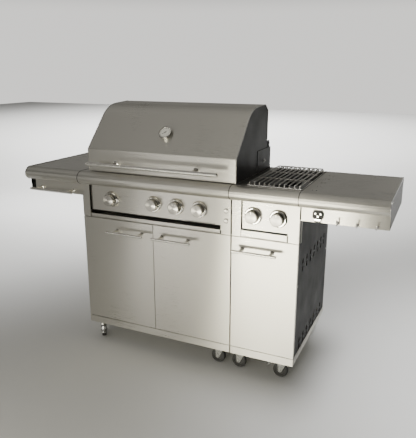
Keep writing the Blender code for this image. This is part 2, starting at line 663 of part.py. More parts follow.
def make_firebox():
    low = (FIREBOX_X[0], FIREBOX_Y[0], FIREBOX_BOTTOM)
    high = (FIREBOX_X[1], FIREBOX_Y[1], DECK_TOP - SHEET - GAP)
    firebox = open_box("firebox", ALUMINISED, low, high, (0, 0, 1))
    ledges = []
    low_x, high_x = FIREBOX_X[0] + 0.001, FIREBOX_X[1] - 0.001
    for level in (GRATE_LEDGE, PLATE_LEDGE):
        for near_y in (FIREBOX_Y[0] + 0.001, FIREBOX_Y[1] - 0.016):
            ledges.append(box((low_x, near_y, level - 0.004), (high_x, near_y + 0.015, level)))
    combine(firebox, "UNION", ledges)
    tube_holes = [rod((x, FIREBOX_Y[0] - 0.01, BURNER_HEIGHT), (x, FIREBOX_Y[0] + 0.01, BURNER_HEIGHT), 0.015)
                  for x in BURNER_KNOBS]
    drain = box((-0.22, FRONT + 0.20, FIREBOX_BOTTOM - 0.01), (-0.08, FRONT + 0.34, FIREBOX_BOTTOM + 0.01))
    combine(firebox, "DIFFERENCE", tube_holes + [drain])

    tubes = [rod((x, MANIFOLD_Y, BURNER_HEIGHT), (x, FIREBOX_Y[1] - 0.03, BURNER_HEIGHT), 0.0125)
             for x in BURNER_KNOBS]
    valves = [rod((x, FRONT + 0.0215, KNOB_HEIGHT), (x, MANIFOLD_Y, KNOB_HEIGHT), 0.008, sides=12)
              for x in MAIN_KNOBS]
    manifold_z = 0.786
    manifold = rod((MAIN_KNOBS[0] - 0.03, MANIFOLD_Y, manifold_z),
                   (MAIN_KNOBS[-1] + 0.06, MANIFOLD_Y, manifold_z), 0.009)
    inlet_x = MAIN_KNOBS[-1] + 0.05
    inlet = rod((inlet_x, MANIFOLD_Y, manifold_z), (inlet_x, MANIFOLD_Y, 0.725), 0.007, sides=12)
    burners = solid("main_burners", STEEL, tubes, joined=[manifold])
    combine(burners, "UNION", valves)
    combine(burners, "UNION", [inlet])

    plate_z = PLATE_LEDGE + 0.002
    path = [(FIREBOX_X[0] + 0.006, plate_z)]
    for x in BURNER_KNOBS:
        path += [(x - 0.045, plate_z), (x, plate_z + 0.030), (x + 0.045, plate_z)]
    path.append((FIREBOX_X[1] - 0.006, plate_z))
    plate = folded_sheet("heat_plate", ALUMINISED, path, "Y", FIREBOX_Y[0] + 0.004, FIREBOX_Y[1] - 0.004)
    slots = []
    for low_x, high_x in zip(BURNER_KNOBS, BURNER_KNOBS[1:]):
        slots.append(box((low_x + 0.065, FIREBOX_Y[0] + 0.04, PLATE_LEDGE - 0.02),
                         (high_x - 0.065, FIREBOX_Y[1] - 0.04, PLATE_LEDGE + 0.02)))
    combine(plate, "DIFFERENCE", slots)

    middle = (FIREBOX_X[0] + FIREBOX_X[1]) / 2
    inner_left, inner_right = FIREBOX_X[0] + SHEET + 0.002, FIREBOX_X[1] - SHEET - 0.002
    for name, left, right in (("cooking_grate_left", inner_left, middle - 0.0015),
                              ("cooking_grate_right", middle + 0.0015, inner_right)):
        make_grate(name, left, right)


def make_grate(name, left, right):
    """A cast grate: a flat plate with long slots that leave its bars."""
    bars = 15
    low_y, high_y = FIREBOX_Y[0] + SHEET + 0.001, FIREBOX_Y[1] - SHEET - 0.001
    low_z = GRATE_LEDGE + GAP
    pitch = (right - left - 0.012) / bars
    middle_y = (low_y + high_y) / 2
    slots = []
    for index in range(bars):
        low_x = left + 0.009 + pitch * index
        high_x = low_x + pitch - 0.006
        for near, far in ((low_y + 0.014, middle_y - 0.005), (middle_y + 0.005, high_y - 0.014)):
            slots.append(box((low_x, near, low_z - 0.01), (high_x, far, low_z + 0.03)))
    solid(name, IRON, [box((left, low_y, low_z), (right, high_y, low_z + 0.012))], cut=slots)


def make_housing():
    left, right = HOOD_X[0] + SHEET / 2, HOOD_X[1] - SHEET / 2
    low_y, high_y = HOUSING_Y[0], HOUSING_Y[1] - SHEET / 2
    path = [(left, low_y), (left, high_y), (right, high_y), (right, low_y)]
    housing = folded_sheet("rear_housing", DARK, path, "Z", DECK_TOP + GAP, HOUSING_TOP)
    pivot_y, pivot_z = HOOD_PIVOT
    ears = [box((x - SHEET / 2, pivot_y - 0.012, HOUSING_TOP - 0.01),
                (x + SHEET / 2, pivot_y + 0.012, pivot_z + 0.012)) for x in (left, right)]
    combine(housing, "UNION", ears)
    pin_ends = ((HOOD_X[0] - 0.002, HOOD_X[0] + 0.008), (HOOD_X[1] + 0.002, HOOD_X[1] - 0.008))
    pins = [rod((outer_x, pivot_y, pivot_z), (inner_x, pivot_y, pivot_z), 0.003, sides=12)
            for outer_x, inner_x in pin_ends]
    combine(housing, "UNION", pins)
    burner_y = HOUSING_Y[1] - 0.030
    combine(housing, "UNION", [box((-0.43, burner_y, 0.942), (0.13, high_y, 1.004))])
    combine(housing, "DIFFERENCE", [box((-0.42, burner_y - 0.01, 0.952), (0.12, burner_y + 0.008, 0.994))])


def make_warming_rack():
    """A rod rack on four legs, above the back of the grates."""
    low_x, high_x = -0.515, 0.215
    near_y, far_y, level = FRONT + 0.280, FRONT + 0.390, 1.030
    rails = [rod((low_x, y, level), (high_x, y, level), 0.003, sides=6) for y in (near_y, far_y)]
    bars = []
    count = 18
    for index in range(count):
        x = low_x + 0.012 + (high_x - low_x - 0.024) * index / (count - 1)
        bars.append(rod((x, near_y, level + 0.002), (x, far_y, level + 0.002), 0.0018, sides=6))
    rack = solid("warming_rack", POLISHED, rails, joined=bars)
    ends = (low_x + 0.003, high_x - 0.003)
    legs = [rod((x, y, DECK_TOP + GAP), (x, y, level + 0.001), 0.003, sides=8)
            for x in ends for y in (near_y + 0.02, far_y - 0.02)]
    ties = [rod((x, near_y, level), (x, far_y, level), 0.003, sides=6) for x in ends]
    combine(rack, "UNION", ties)
    combine(rack, "UNION", legs)


# Hood

def end_plate_outline():
    """The hood's end: inside its sheet, with an ear behind for the pivot and an open rear lower corner."""
    shell = inset(HOOD_PATH, SHEET + GAP)
    pivot_y, pivot_z = HOOD_PIVOT
    ear_y = pivot_y + 0.011
    low_z = HOUSING_TOP + 0.0025
    back_y = shell[-1][0]
    shoulder_z = HOOD_CORNERS[-1][1] - 0.004
    return shell[:-1] + [(back_y, shoulder_z), (ear_y, shoulder_z), (ear_y, pivot_z), (ear_y - 0.006, low_z),
                         (HOOD_SLIT_Y, low_z), (HOOD_SLIT_Y, HOOD_BOTTOM)]


def make_hood():
    left, right = HOOD_X[0] + SHEET + GAP, HOOD_X[1] - SHEET - GAP
    shell = folded_sheet("hood_shell", STEEL, inset(HOOD_PATH, SHEET / 2), "X", HOOD_X[0], HOOD_X[1])
    corners = inset([corner[:2] for corner in HOOD_CORNERS], LINING_DEPTH)
    radii = [max(corner[2] - LINING_DEPTH, 0.004) for corner in HOOD_CORNERS[1:-1]]
    bends = [(y, z, radius) for (y, z), radius in zip(corners[1:-1], radii)]
    lining = filleted([corners[0], *bends, corners[-1]])
    liner = folded_sheet("hood_liner", DARK, lining, "X", left + SHEET / 2, right - SHEET / 2, 0.001)
    outline = end_plate_outline()
    combine(liner, "UNION", [outline_plate(outline, left, left + SHEET)])
    combine(liner, "UNION", [outline_plate(outline, right - SHEET, right)])
    pivot_y, pivot_z = HOOD_PIVOT
    pin_holes = [rod((x - 0.01, pivot_y, pivot_z), (x + 0.01, pivot_y, pivot_z), 0.0034, sides=12)
                 for x in (left, right)]
    combine(liner, "DIFFERENCE", pin_holes)

    slope = HOOD_SLOPE
    outward = Vector((slope.y * -1, slope.x))
    crease = Vector(HOOD_CORNERS[1][:2])
    seat = crease + slope * (THERMOMETER_RISE / slope.y)
    probe_in = seat - outward * 0.03
    probe_out = seat + outward * 0.01
    probe_hole = rod((THERMOMETER_X, *probe_out), (THERMOMETER_X, *probe_in), 0.006, sides=12)
    combine(shell, "DIFFERENCE", [probe_hole])
    combine(liner, "DIFFERENCE", [probe_hole])
    profile = [(0, 0.014), (0.027, 0.014), (0.033, 0.011), (0.033, 0.002), (0.031, GAP), (0.0045, GAP),
               (0.0045, -0.032), (0, -0.032)]
    thermometer = turned("thermometer", POLISHED, profile, sides=32)
    tilt = Vector((0, *outward)).to_track_quat("Z", "X").to_matrix().to_4x4()
    thermometer.matrix_world = Matrix.Translation((THERMOMETER_X, *seat)) @ tilt

    handle = bar_handle("hood_handle", *HOOD_HANDLE_X, HOOD_HANDLE_Y, HOOD_HANDLE_Z, 0.0095,
                        FRONT + PANEL_DEPTH - GAP, 0.131, 0.007)
    bpy.context.view_layer.update()
    joint_empty("hood_pivot", (0, pivot_y, pivot_z), [shell, liner, thermometer, handle])


# Side burner

def make_side_burner():
    heads = []
    for x, y in SIDE_BURNERS:
        heads.append(rod((x, y, PAN_BOTTOM + SHEET + GAP), (x, y, 0.893), 0.034, 0.040, sides=28))
    stems = [rod((x, y, PAN_BOTTOM - 0.03), (x, y, PAN_BOTTOM + 0.01), 0.008, sides=12)
             for x, y in SIDE_BURNERS]
    feed_z = PAN_BOTTOM - 0.026
    (x, near_y), (_, far_y) = SIDE_BURNERS
    feed = rod((x, FRONT + 0.06, feed_z), (x, far_y, feed_z), 0.006, sides=12)
    burners = solid("side_burners", IRON, heads, joined=stems)
    combine(burners, "UNION", [feed])
    cross_y = FRONT + 0.058
    cross = rod((SIDE_KNOBS[0] - 0.02, cross_y, feed_z), (SIDE_KNOBS[1] + 0.02, cross_y, feed_z), 0.007,
                sides=12)
    combine(burners, "UNION", [cross])
    drops = [rod((x, cross_y, KNOB_HEIGHT - 0.008), (x, cross_y, feed_z + 0.002), 0.0065, sides=12)
             for x in SIDE_KNOBS]
    combine(burners, "UNION", drops)
    valves = [rod((x, FRONT + 0.0215, KNOB_HEIGHT), (x, FRONT + 0.062, KNOB_HEIGHT), 0.008, sides=12)
              for x in SIDE_KNOBS]
    combine(burners, "UNION", valves)

    make_burner_grate()


def make_burner_grate():
    """Wire bars across two cross rods. Both ends of each bar turn down to a rod that lies on the deck."""
    half_width = GRATE_PITCH * (GRATE_BARS - 1) / 2
    near_y, far_y = FRONT + 0.014, FRONT + 0.449
    bar_z = GRATE_TOP - GRATE_WIRE
    rod_z = DECK_TOP + GAP + GRATE_WIRE
    places = [GRATE_MIDDLE - half_width + GRATE_PITCH * index for index in range(GRATE_BARS)]
    bars = [rod((x, near_y, bar_z), (x, far_y, bar_z), GRATE_WIRE, sides=8) for x in places]
    ends = [rod((x, y, rod_z - 0.001), (x, y, bar_z + 0.001), GRATE_WIRE * 0.95, sides=8)
            for x in places for y in (near_y + GRATE_WIRE, far_y - GRATE_WIRE)]
    low_x, high_x = PAN_X[0] - 0.004, PAN_X[1] + 0.004
    rests = [rod((low_x, y, rod_z), (high_x, y, rod_z), GRATE_WIRE, sides=8)
             for y in (near_y + GRATE_WIRE, far_y - GRATE_WIRE)]
    tie_z = bar_z - 0.0045
    ties = [rod((places[0] - 0.004, y, tie_z), (places[-1] + 0.004, y, tie_z), GRATE_WIRE, sides=8)
            for y in (FRONT + 0.155, FRONT + 0.305)]
    grate = solid("side_burner_grate", POLISHED, bars, joined=rests)
    combine(grate, "UNION", ends)
    combine(grate, "UNION", ties)


# Casters

def make_casters():
    wheel_profile = [(0.0045, WHEEL_HALF_WIDTH), (0.032, WHEEL_HALF_WIDTH), (WHEEL_RADIUS, 0.007),
                     (WHEEL_RADIUS, -0.007), (0.032, -WHEEL_HALF_WIDTH), (0.0045, -WHEEL_HALF_WIDTH)]
    half_facet = Matrix.Rotation(math.pi / WHEEL_SIDES, 4, "Z")
    across = Matrix.Rotation(math.pi / 2, 4, "X")
    cheek = [(-TRAIL - 0.009, AXLE_HEIGHT - 0.002), (-TRAIL, AXLE_HEIGHT - 0.009),
             (-TRAIL + 0.009, AXLE_HEIGHT - 0.002), (0.014, 0.080), (-0.034, 0.080)]
    for name, x, y, braked, heading in CASTERS:
        swivel = joint_empty(f"{name}_swivel", (x, y, 0), [])
        swivel.rotation_euler.z = math.radians(heading)
        reach = 0.0675 if braked else 0.036
        fork = solid(f"{name}_fork", PLATED, [box((-reach, -0.016, 0.077), (0.016, 0.016, 0.0805))])
        combine(fork, "UNION", [rod((0, 0, 0.079), (0, 0, BASE_BOTTOM - GAP), 0.015, sides=12)])
        combine(fork, "UNION", [rod((0, 0, BASE_BOTTOM - 0.004), (0, 0, 0.112), 0.006, sides=8)])
        cheeks = [standing_plate(cheek, low_y, low_y + 0.002) for low_y in (-0.0155, 0.0135)]
        combine(fork, "UNION", cheeks)
        axle = rod((-TRAIL, -0.0175, AXLE_HEIGHT), (-TRAIL, 0.0175, AXLE_HEIGHT), 0.004, sides=8)
        combine(fork, "UNION", [axle])
        if braked:
            combine(fork, "UNION", [box((-0.068, -0.010, 0.048), (-0.066, 0.010, 0.079))])
            combine(fork, "UNION", [box((-0.086, -0.0125, 0.0465), (-0.067, 0.0125, 0.0495))])
        wheel = turned(f"{name}_wheel", TYRE, wheel_profile, sides=WHEEL_SIDES, closed_ring=True)
        wheel.matrix_world = Matrix.Translation((-TRAIL, 0, AXLE_HEIGHT)) @ across @ half_facet
        for piece in [fork, wheel] + [modifier.object for modifier in fork.modifiers]:
            piece.parent = swivel


make_cabinets()
make_control_panels()
make_doors()
make_tray("grease_tray", MAIN_LEFT, MAIN_RIGHT, TRAY_TOP)
make_tray("side_drip_tray", SIDE_LEFT, SIDE_RIGHT, SIDE_TRAY_TOP)
make_decks()
make_shelves()
make_firebox()
make_housing()
make_warming_rack()
make_hood()
make_side_burner()
make_casters()
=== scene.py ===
import json
import math

import bmesh
import bpy
from mathutils import Matrix, Vector

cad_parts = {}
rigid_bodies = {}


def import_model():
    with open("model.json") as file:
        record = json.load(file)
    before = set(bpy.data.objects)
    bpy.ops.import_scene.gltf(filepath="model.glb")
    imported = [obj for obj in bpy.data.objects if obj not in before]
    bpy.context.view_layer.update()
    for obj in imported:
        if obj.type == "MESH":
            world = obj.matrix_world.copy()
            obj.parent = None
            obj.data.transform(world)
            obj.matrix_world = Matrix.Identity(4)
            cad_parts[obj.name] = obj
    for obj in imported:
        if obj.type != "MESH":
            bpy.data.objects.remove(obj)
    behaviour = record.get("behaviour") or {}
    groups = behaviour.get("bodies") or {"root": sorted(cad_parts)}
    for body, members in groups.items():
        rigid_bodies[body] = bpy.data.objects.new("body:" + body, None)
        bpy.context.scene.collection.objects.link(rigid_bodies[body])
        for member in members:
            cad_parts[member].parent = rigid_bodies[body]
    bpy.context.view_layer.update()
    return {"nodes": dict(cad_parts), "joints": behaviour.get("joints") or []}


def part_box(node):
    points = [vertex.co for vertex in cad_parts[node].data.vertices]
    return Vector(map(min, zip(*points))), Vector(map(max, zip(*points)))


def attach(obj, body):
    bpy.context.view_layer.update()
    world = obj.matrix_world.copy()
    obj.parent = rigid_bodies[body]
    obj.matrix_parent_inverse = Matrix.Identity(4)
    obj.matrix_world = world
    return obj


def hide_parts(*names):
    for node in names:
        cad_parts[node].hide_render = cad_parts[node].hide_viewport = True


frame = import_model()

JOINTS = {joint["name"]: joint for joint in frame["joints"]}
NODES = frame["nodes"]

# Planes that the pieces sit on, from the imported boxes
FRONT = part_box("left_door")[0].y            # faces of the doors and of the pillars
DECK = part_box("main_worktop")[1].z          # top of the worktops
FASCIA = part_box("bottle_opener")[1].y       # face of the sheet under the side shelves
DOOR_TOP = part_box("left_door")[1].z

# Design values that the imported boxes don't give
PANEL_RECESS = 0.012       # from the pillars' faces back to the panels that carry the knobs
PANEL_TOP = 0.848          # upper edges of the panels and of the fascias
DECK_LIP = 0.849           # lower edge of the worktops' rounded front
NOSE_REACH = 0.038         # from FRONT to the foremost line of the rounded front
DECK_DEPTH = 0.489         # from FRONT to the back of the worktops
HOOD_CREASE = Vector((0, FRONT + 0.012, 1.024))
HOOD_SLOPE = Vector((0, 0.186, 0.1995)).normalized()
HOOD_PROFILE = [HOOD_CREASE - Vector((0, 0, 0.107)), HOOD_CREASE, Vector((0, FRONT + 0.198, 1.2235)),
                Vector((0, FRONT + 0.387, 1.2347)), Vector((0, FRONT + 0.428, 1.204)),
                Vector((0, FRONT + 0.428, 1.060))]
HOOD_RADII = [0.012, 0.17, 0.03, 0.015]

# Turns of a piece that is made about Z: its +Z comes to point to that side
FACING_FRONT = Matrix.Rotation(math.pi / 2, 4, "X")
FACING_BACK = Matrix.Rotation(-math.pi / 2, 4, "X")
FACING_RIGHT = Matrix.Rotation(math.pi / 2, 4, "Y")
FACING_LEFT = Matrix.Rotation(-math.pi / 2, 4, "Y")
PROFILE_TO_X = Matrix(((0, 0, 1, 0), (1, 0, 0, 0), (0, 1, 0, 0), (0, 0, 0, 1)))    # (y, z, x) to (x, y, z)


# Camera, floor and lights

def make_camera():
    """The photograph's view: from the front right, a little above the hood."""
    camera = bpy.data.cameras.new("camera")
    camera.sensor_width = 36
    camera.lens = 43.16
    holder = bpy.data.objects.new("camera", camera)
    holder.location = (1.066, -2.3515, 1.3975)
    holder.rotation_euler = (math.radians(74.05), 0, math.radians(24.54))
    bpy.context.scene.collection.objects.link(holder)
    bpy.context.scene.camera = holder


def area_light(name, place, target, size, power, colour=(1, 1, 1)):
    light = bpy.data.lights.new(name, "AREA")
    light.shape = "RECTANGLE"
    light.size, light.size_y = size
    light.energy = power
    light.color = colour
    holder = bpy.data.objects.new(name, light)
    holder.location = place
    holder.rotation_euler = (Vector(target) - Vector(place)).to_track_quat("-Z", "Y").to_euler()
    bpy.context.scene.collection.objects.link(holder)


def spot_light(name, place, tilt, cone, power):
    """A soft-edged cone of light, pointing down and then tilted by angles in degrees about X and Y."""
    light = bpy.data.lights.new(name, "SPOT")
    light.energy = power
    light.spot_size = math.radians(cone)
    light.spot_blend = 0.5
    light.shadow_soft_size = 0.6
    holder = bpy.data.objects.new(name, light)
    holder.location = place
    holder.rotation_euler = [math.radians(angle) for angle in (*tilt, 0)]
    bpy.context.scene.collection.objects.link(holder)


def world_light():
    """Light from all round: bright at the horizon and overhead, dim between, and dimmer on the right."""
    world = bpy.data.worlds.new("studio")
    world.use_nodes = True
    tree = world.node_tree
    coordinates = tree.nodes.new("ShaderNodeTexCoord")
    split = tree.nodes.new("ShaderNodeSeparateXYZ")
    tree.links.new(coordinates.outputs["Generated"], split.inputs["Vector"])
    ramps = (("Z", 0.09, 0.18, 1.7, 0.20), ("Z", 0.50, 0.80, 1.0, 3.1), ("X", 0.0, 0.4, 1.0, 0.35),
             ("Y", -0.5, 0.5, 0.55, 0.62))    # axis, where it starts and ends, and its two values
    factors = []
    for axis, *limits in ramps:
        ranged = node_of(tree, "ShaderNodeMapRange", interpolation_type="SMOOTHSTEP")
        for name, value in zip(("From Min", "From Max", "To Min", "To Max"), limits):
            ranged.inputs[name].default_value = value
        tree.links.new(split.outputs[axis], ranged.inputs["Value"])
        factors.append(ranged.outputs["Result"])
    product = factors[0]
    for factor in factors[1:]:
        times = node_of(tree, "ShaderNodeMath", operation="MULTIPLY")
        tree.links.new(product, times.inputs[0])
        tree.links.new(factor, times.inputs[1])
        product = times.outputs["Value"]
    background = tree.nodes["Background"]
    background.inputs["Color"].default_value = (1.0, 0.985, 0.95, 1)
    tree.links.new(product, background.inputs["Strength"])
    bpy.context.scene.world = world


def make_studio():
    """A pale floor, low cards in front for the doors to mirror, and spots on the floor round the grill."""
    world_light()
    shape = bmesh.new()
    bmesh.ops.create_grid(shape, x_segments=1, y_segments=1, size=16)
    floor = object_of("floor", shape)
    floor.data.materials.append(plain("floor_paint", (0.80, 0.80, 0.78), 0.9))
    area_light("front_card", (-0.10, -2.5, 0.12), (-0.05, 0.0, 0.36), (1.05, 0.22), 50, (1.0, 0.96, 0.80))
    area_light("left_card", (-1.15, -2.3, 0.10), (-0.6, 0.0, 0.4), (0.7, 0.18), 3, (1.0, 0.97, 0.92))
    area_light("horizon", (-0.9, -3.2, 1.75), (-0.2, 0.0, 0.9), (2.8, 0.30), 9, (1.0, 0.98, 0.92))
    spot_light("backdrop", (-1.9, 3.0, 4.0), (24, 0), 118, 1500)
    spot_light("far_backdrop", (-4.5, 9.5, 6.5), (10, 0), 125, 6500)
    spot_light("left_floor", (-2.5, 0.9, 3.4), (0, 0), 56, 420)
    spot_light("right_floor", (2.0, 0.1, 3.4), (0, 0), 60, 650)


# Materials

def node_of(tree, kind, **values):
    """A new node, with each value set on the input or the property of that name."""
    node = tree.nodes.new(kind)
    for key, value in values.items():
        if key in node.inputs:
            node.inputs[key].default_value = value
        else:
            setattr(node, key, value)
    return node


def noise(tree, scale, detail=2.0, stretch=(1, 1, 1)):
    """Noise in metres of the object's own frame. Returns its value output."""
    coordinates = tree.nodes.new("ShaderNodeTexCoord")
    mapping = node_of(tree, "ShaderNodeMapping", Scale=stretch)
    texture = node_of(tree, "ShaderNodeTexNoise", Scale=scale, Detail=detail)
    tree.links.new(coordinates.outputs["Object"], mapping.inputs["Vector"])
    tree.links.new(mapping.outputs["Vector"], texture.inputs["Vector"])
    return texture.outputs["Fac"]


def spread(tree, value, low, high):
    """A noise value stretched to run from low to high."""
    ranged = tree.nodes.new("ShaderNodeMapRange")
    ranged.inputs["From Min"].default_value = 0.3
    ranged.inputs["From Max"].default_value = 0.7
    ranged.inputs["To Min"].default_value = low
    ranged.inputs["To Max"].default_value = high
    tree.links.new(value, ranged.inputs["Value"])
    return ranged.outputs["Result"]


def tinted(tree, value, dark, light):
    """A colour that runs from dark to light with the value."""
    mix = node_of(tree, "ShaderNodeMix", data_type="RGBA")
    colour_a, colour_b = [socket for socket in mix.inputs if socket.type == "RGBA"]
    colour_a.default_value = (*dark, 1)
    colour_b.default_value = (*light, 1)
    tree.links.new(value, mix.inputs["Factor"])
    return next(socket for socket in mix.outputs if socket.type == "RGBA")


def bumped(tree, shader, value, strength, depth):
    bump = node_of(tree, "ShaderNodeBump", Strength=strength, Distance=depth)
    tree.links.new(value, bump.inputs["Height"])
    tree.links.new(bump.outputs["Normal"], shader.inputs["Normal"])


def surface(name, metallic):
    """A new material, its node tree and its shader."""
    material = bpy.data.materials.new(name)
    material.use_nodes = True
    tree = material.node_tree
    shader = tree.nodes["Principled BSDF"]
    shader.inputs["Metallic"].default_value = metallic
    return material, tree, shader


def dimmed(colour, share):
    return [part * share for part in colour]


def plain(name, colour, roughness):
    """Smooth paint with a very faint mottle."""
    material, tree, shader = surface(name, 0.0)
    tree.links.new(tinted(tree, noise(tree, 3), dimmed(colour, 0.97), colour), shader.inputs["Base Color"])
    shader.inputs["Roughness"].default_value = roughness
    return material


def brushed(name, colour, roughness, grain, anisotropic=0.93, turned=False):
    """Brushed stainless steel, with lines along the grain axis, or in rings about it when turned."""
    material, tree, shader = surface(name, 1.0)
    stretch = [0.012 if axis == grain else 1.0 for axis in "XYZ"]
    lines = noise(tree, 900, 3, (1, 1, 1) if turned else stretch)
    smudges = noise(tree, 3.5, 3, (1, 1, 0.5))
    tree.links.new(tinted(tree, smudges, dimmed(colour, 0.94), colour), shader.inputs["Base Color"])
    together = node_of(tree, "ShaderNodeMath", operation="ADD")
    tree.links.new(spread(tree, lines, -0.03, 0.03), together.inputs[0])
    tree.links.new(spread(tree, smudges, roughness - 0.02, roughness + 0.03), together.inputs[1])
    tree.links.new(together.outputs["Value"], shader.inputs["Roughness"])
    bumped(tree, shader, lines, 0.015, 0.0002)
    shader.inputs["Anisotropic"].default_value = anisotropic
    shader.inputs["Anisotropic Rotation"].default_value = 0.25 if turned else 0.0
    tangent = node_of(tree, "ShaderNodeTangent", direction_type="RADIAL", axis=grain)
    tree.links.new(tangent.outputs["Tangent"], shader.inputs["Tangent"])
    return material


def polished(name, colour, roughness):
    """Bright metal with faint wiping marks."""
    material, tree, shader = surface(name, 1.0)
    wipes = noise(tree, 60, 3)
    tree.links.new(tinted(tree, wipes, dimmed(colour, 0.94), colour), shader.inputs["Base Color"])
    tree.links.new(spread(tree, wipes, roughness * 0.9, roughness * 1.15), shader.inputs["Roughness"])
    bumped(tree, shader, noise(tree, 900, 2), 0.004, 0.0001)
    return material


def coated(name, colour, roughness, grain_scale, bump, shine=0.5, patch=0.75):
    """Paint, enamel, rubber or cast metal: uneven colour and gloss over a fine bump."""
    material, tree, shader = surface(name, 0.0)
    shader.inputs["Specular IOR Level"].default_value = shine
    patches = noise(tree, 9, 4)
    tree.links.new(tinted(tree, patches, dimmed(colour, patch), colour), shader.inputs["Base Color"])
    tree.links.new(spread(tree, patches, roughness - 0.06, roughness + 0.06), shader.inputs["Roughness"])
    bumped(tree, shader, noise(tree, grain_scale, 3), bump, 0.0004)
    return material


def spangled(name, colour, roughness, scale):
    """Zinc or aluminium coating with a faint crystal pattern."""
    material, tree, shader = surface(name, 1.0)
    crystals = node_of(tree, "ShaderNodeTexVoronoi", Scale=scale)
    coordinates = tree.nodes.new("ShaderNodeTexCoord")
    tree.links.new(coordinates.outputs["Object"], crystals.inputs["Vector"])
    tree.links.new(tinted(tree, crystals.outputs["Distance"], dimmed(colour, 0.85), colour),
                   shader.inputs["Base Color"])
    tree.links.new(spread(tree, crystals.outputs["Distance"], roughness - 0.06, roughness + 0.08),
                   shader.inputs["Roughness"])
    bumped(tree, shader, noise(tree, 500, 2), 0.05, 0.0002)
    return material


# Shapes: bmeshes in metres, and the outlines and paths that they are made from

def joined(*shapes):
    """One bmesh from several, which it uses up."""
    whole = bmesh.new()
    for shape in shapes:
        mesh = bpy.data.meshes.new("part")
        shape.to_mesh(mesh)
        shape.free()
        whole.from_mesh(mesh)
        bpy.data.meshes.remove(mesh)
    return whole


def placed(shape, matrix):
    bmesh.ops.transform(shape, matrix=matrix, verts=shape.verts)
    return shape


def block(low, high):
    shape = bmesh.new()
    low, high = Vector(low), Vector(high)
    place = Matrix.Translation((low + high) / 2) @ Matrix.Diagonal((*(high - low), 1))
    bmesh.ops.create_cube(shape, size=1, matrix=place)
    return shape


def lathe(profile, steps=40, closed_ring=False):
    """Turns (radius, height) points about Z. A closed ring joins up its last and first points."""
    shape = bmesh.new()
    verts = [shape.verts.new((radius, 0, height)) for radius, height in profile]
    edges = [shape.edges.new(pair) for pair in zip(verts, verts[1:])]
    if closed_ring:
        edges.append(shape.edges.new((verts[-1], verts[0])))
    bmesh.ops.spin(shape, geom=verts + edges, cent=(0, 0, 0), axis=(0, 0, 1), angle=2 * math.pi,
                   steps=steps, use_merge=True)
    bmesh.ops.remove_doubles(shape, verts=shape.verts, dist=1e-6)
    bmesh.ops.recalc_face_normals(shape, faces=shape.faces)
    return shape


def mirrored(half):
    """A ring's outline from its upper half."""
    return half + [(radius, -height) for radius, height in reversed(half)]


def prism(outline, low, high):
    """A flat (x, y) outline drawn out along Z."""
    shape = bmesh.new()
    face = shape.faces.new([shape.verts.new((x, y, low)) for x, y in outline])
    grown = bmesh.ops.extrude_face_region(shape, geom=[face])
    moved = [item for item in grown["geom"] if isinstance(item, bmesh.types.BMVert)]
    bmesh.ops.translate(shape, verts=moved, vec=(0, 0, high - low))
    bmesh.ops.recalc_face_normals(shape, faces=shape.faces)
    return shape


def rounded_path(points, radii, steps=6):
    """The path with an arc at each inner corner, of one radius for all or one for each."""
    points = [Vector(point) for point in points]
    if not isinstance(radii, list):
        radii = [radii] * (len(points) - 2)
    result = [points[0]]
    for before, here, after, radius in zip(points, points[1:], points[2:], radii):
        back = (before - here).normalized()
        ahead = (after - here).normalized()
        half = back.angle(ahead) / 2
        reach = radius / math.tan(half)
        centre = here + (back + ahead).normalized() * radius / math.sin(half)
        start, end = here + back * reach - centre, here + ahead * reach - centre
        for step in range(steps + 1):
            result.append(centre + start.normalized().slerp(end.normalized(), step / steps) * radius)
    result.append(points[-1])
    return result


def loop(left, right, near, far, level):
    """A level rectangle, from the middle of its near side round to there again."""
    centre = (left + right) / 2
    return [(centre, near, level), (left, near, level), (left, far, level), (right, far, level),
            (right, near, level), (centre, near, level)]


def tube(points, radius, sides=16, end_round=0.0):
    """A round bar along a path. end_round chamfers its two ends by that length."""
    points = [Vector(point) for point in points]
    radii = [radius] * len(points)
    if end_round:
        first, last = (points[1] - points[0]).normalized(), (points[-2] - points[-1]).normalized()
        points = [points[0], points[0] + first * end_round, *points[1:-1], points[-1] + last * end_round,
                  points[-1]]
        radii = [radius - end_round, radius] + radii[1:-1] + [radius, radius - end_round]
    shape = bmesh.new()
    turns = [2 * math.pi * step / sides for step in range(sides)]
    rings = []
    side = None
    for index, (point, ring_radius) in enumerate(zip(points, radii)):
        before = point - points[index - 1] if index else points[1] - point
        after = points[index + 1] - point if index < len(points) - 1 else before
        along = (before.normalized() + after.normalized()).normalized()
        if side is None:
            side = along.orthogonal().normalized()
        side = (side - along * side.dot(along)).normalized()
        other = along.cross(side)
        spokes = [side * math.cos(turn) + other * math.sin(turn) for turn in turns]
        rings.append([shape.verts.new(point + ring_radius * spoke) for spoke in spokes])
    for ring, following in zip(rings, rings[1:]):
        for index in range(sides):
            beyond = (index + 1) % sides
            shape.faces.new((ring[index], ring[beyond], following[beyond], following[index]))
    shape.faces.new(rings[0][::-1])
    shape.faces.new(rings[-1])
    bmesh.ops.recalc_face_normals(shape, faces=shape.faces)
    return shape


def strip(path, low_x, high_x, inner, outer):
    """A bent strip along a path in the YZ plane, between two distances on its left-hand side."""
    shape = bmesh.new()
    rings = []
    for index, point in enumerate(path):
        before = path[max(index - 1, 0)]
        after = path[min(index + 1, len(path) - 1)]
        along = (after - before).normalized()
        out = Vector((0, -along.z, along.y))
        corners = ((low_x, inner), (high_x, inner), (high_x, outer), (low_x, outer))
        rings.append([shape.verts.new((x, *(point + out * distance).yz)) for x, distance in corners])
    for ring, following in zip(rings, rings[1:]):
        for index in range(4):
            beyond = (index + 1) % 4
            shape.faces.new((ring[index], ring[beyond], following[beyond], following[index]))
    shape.faces.new(rings[0][::-1])
    shape.faces.new(rings[-1])
    bmesh.ops.recalc_face_normals(shape, faces=shape.faces)
    return shape


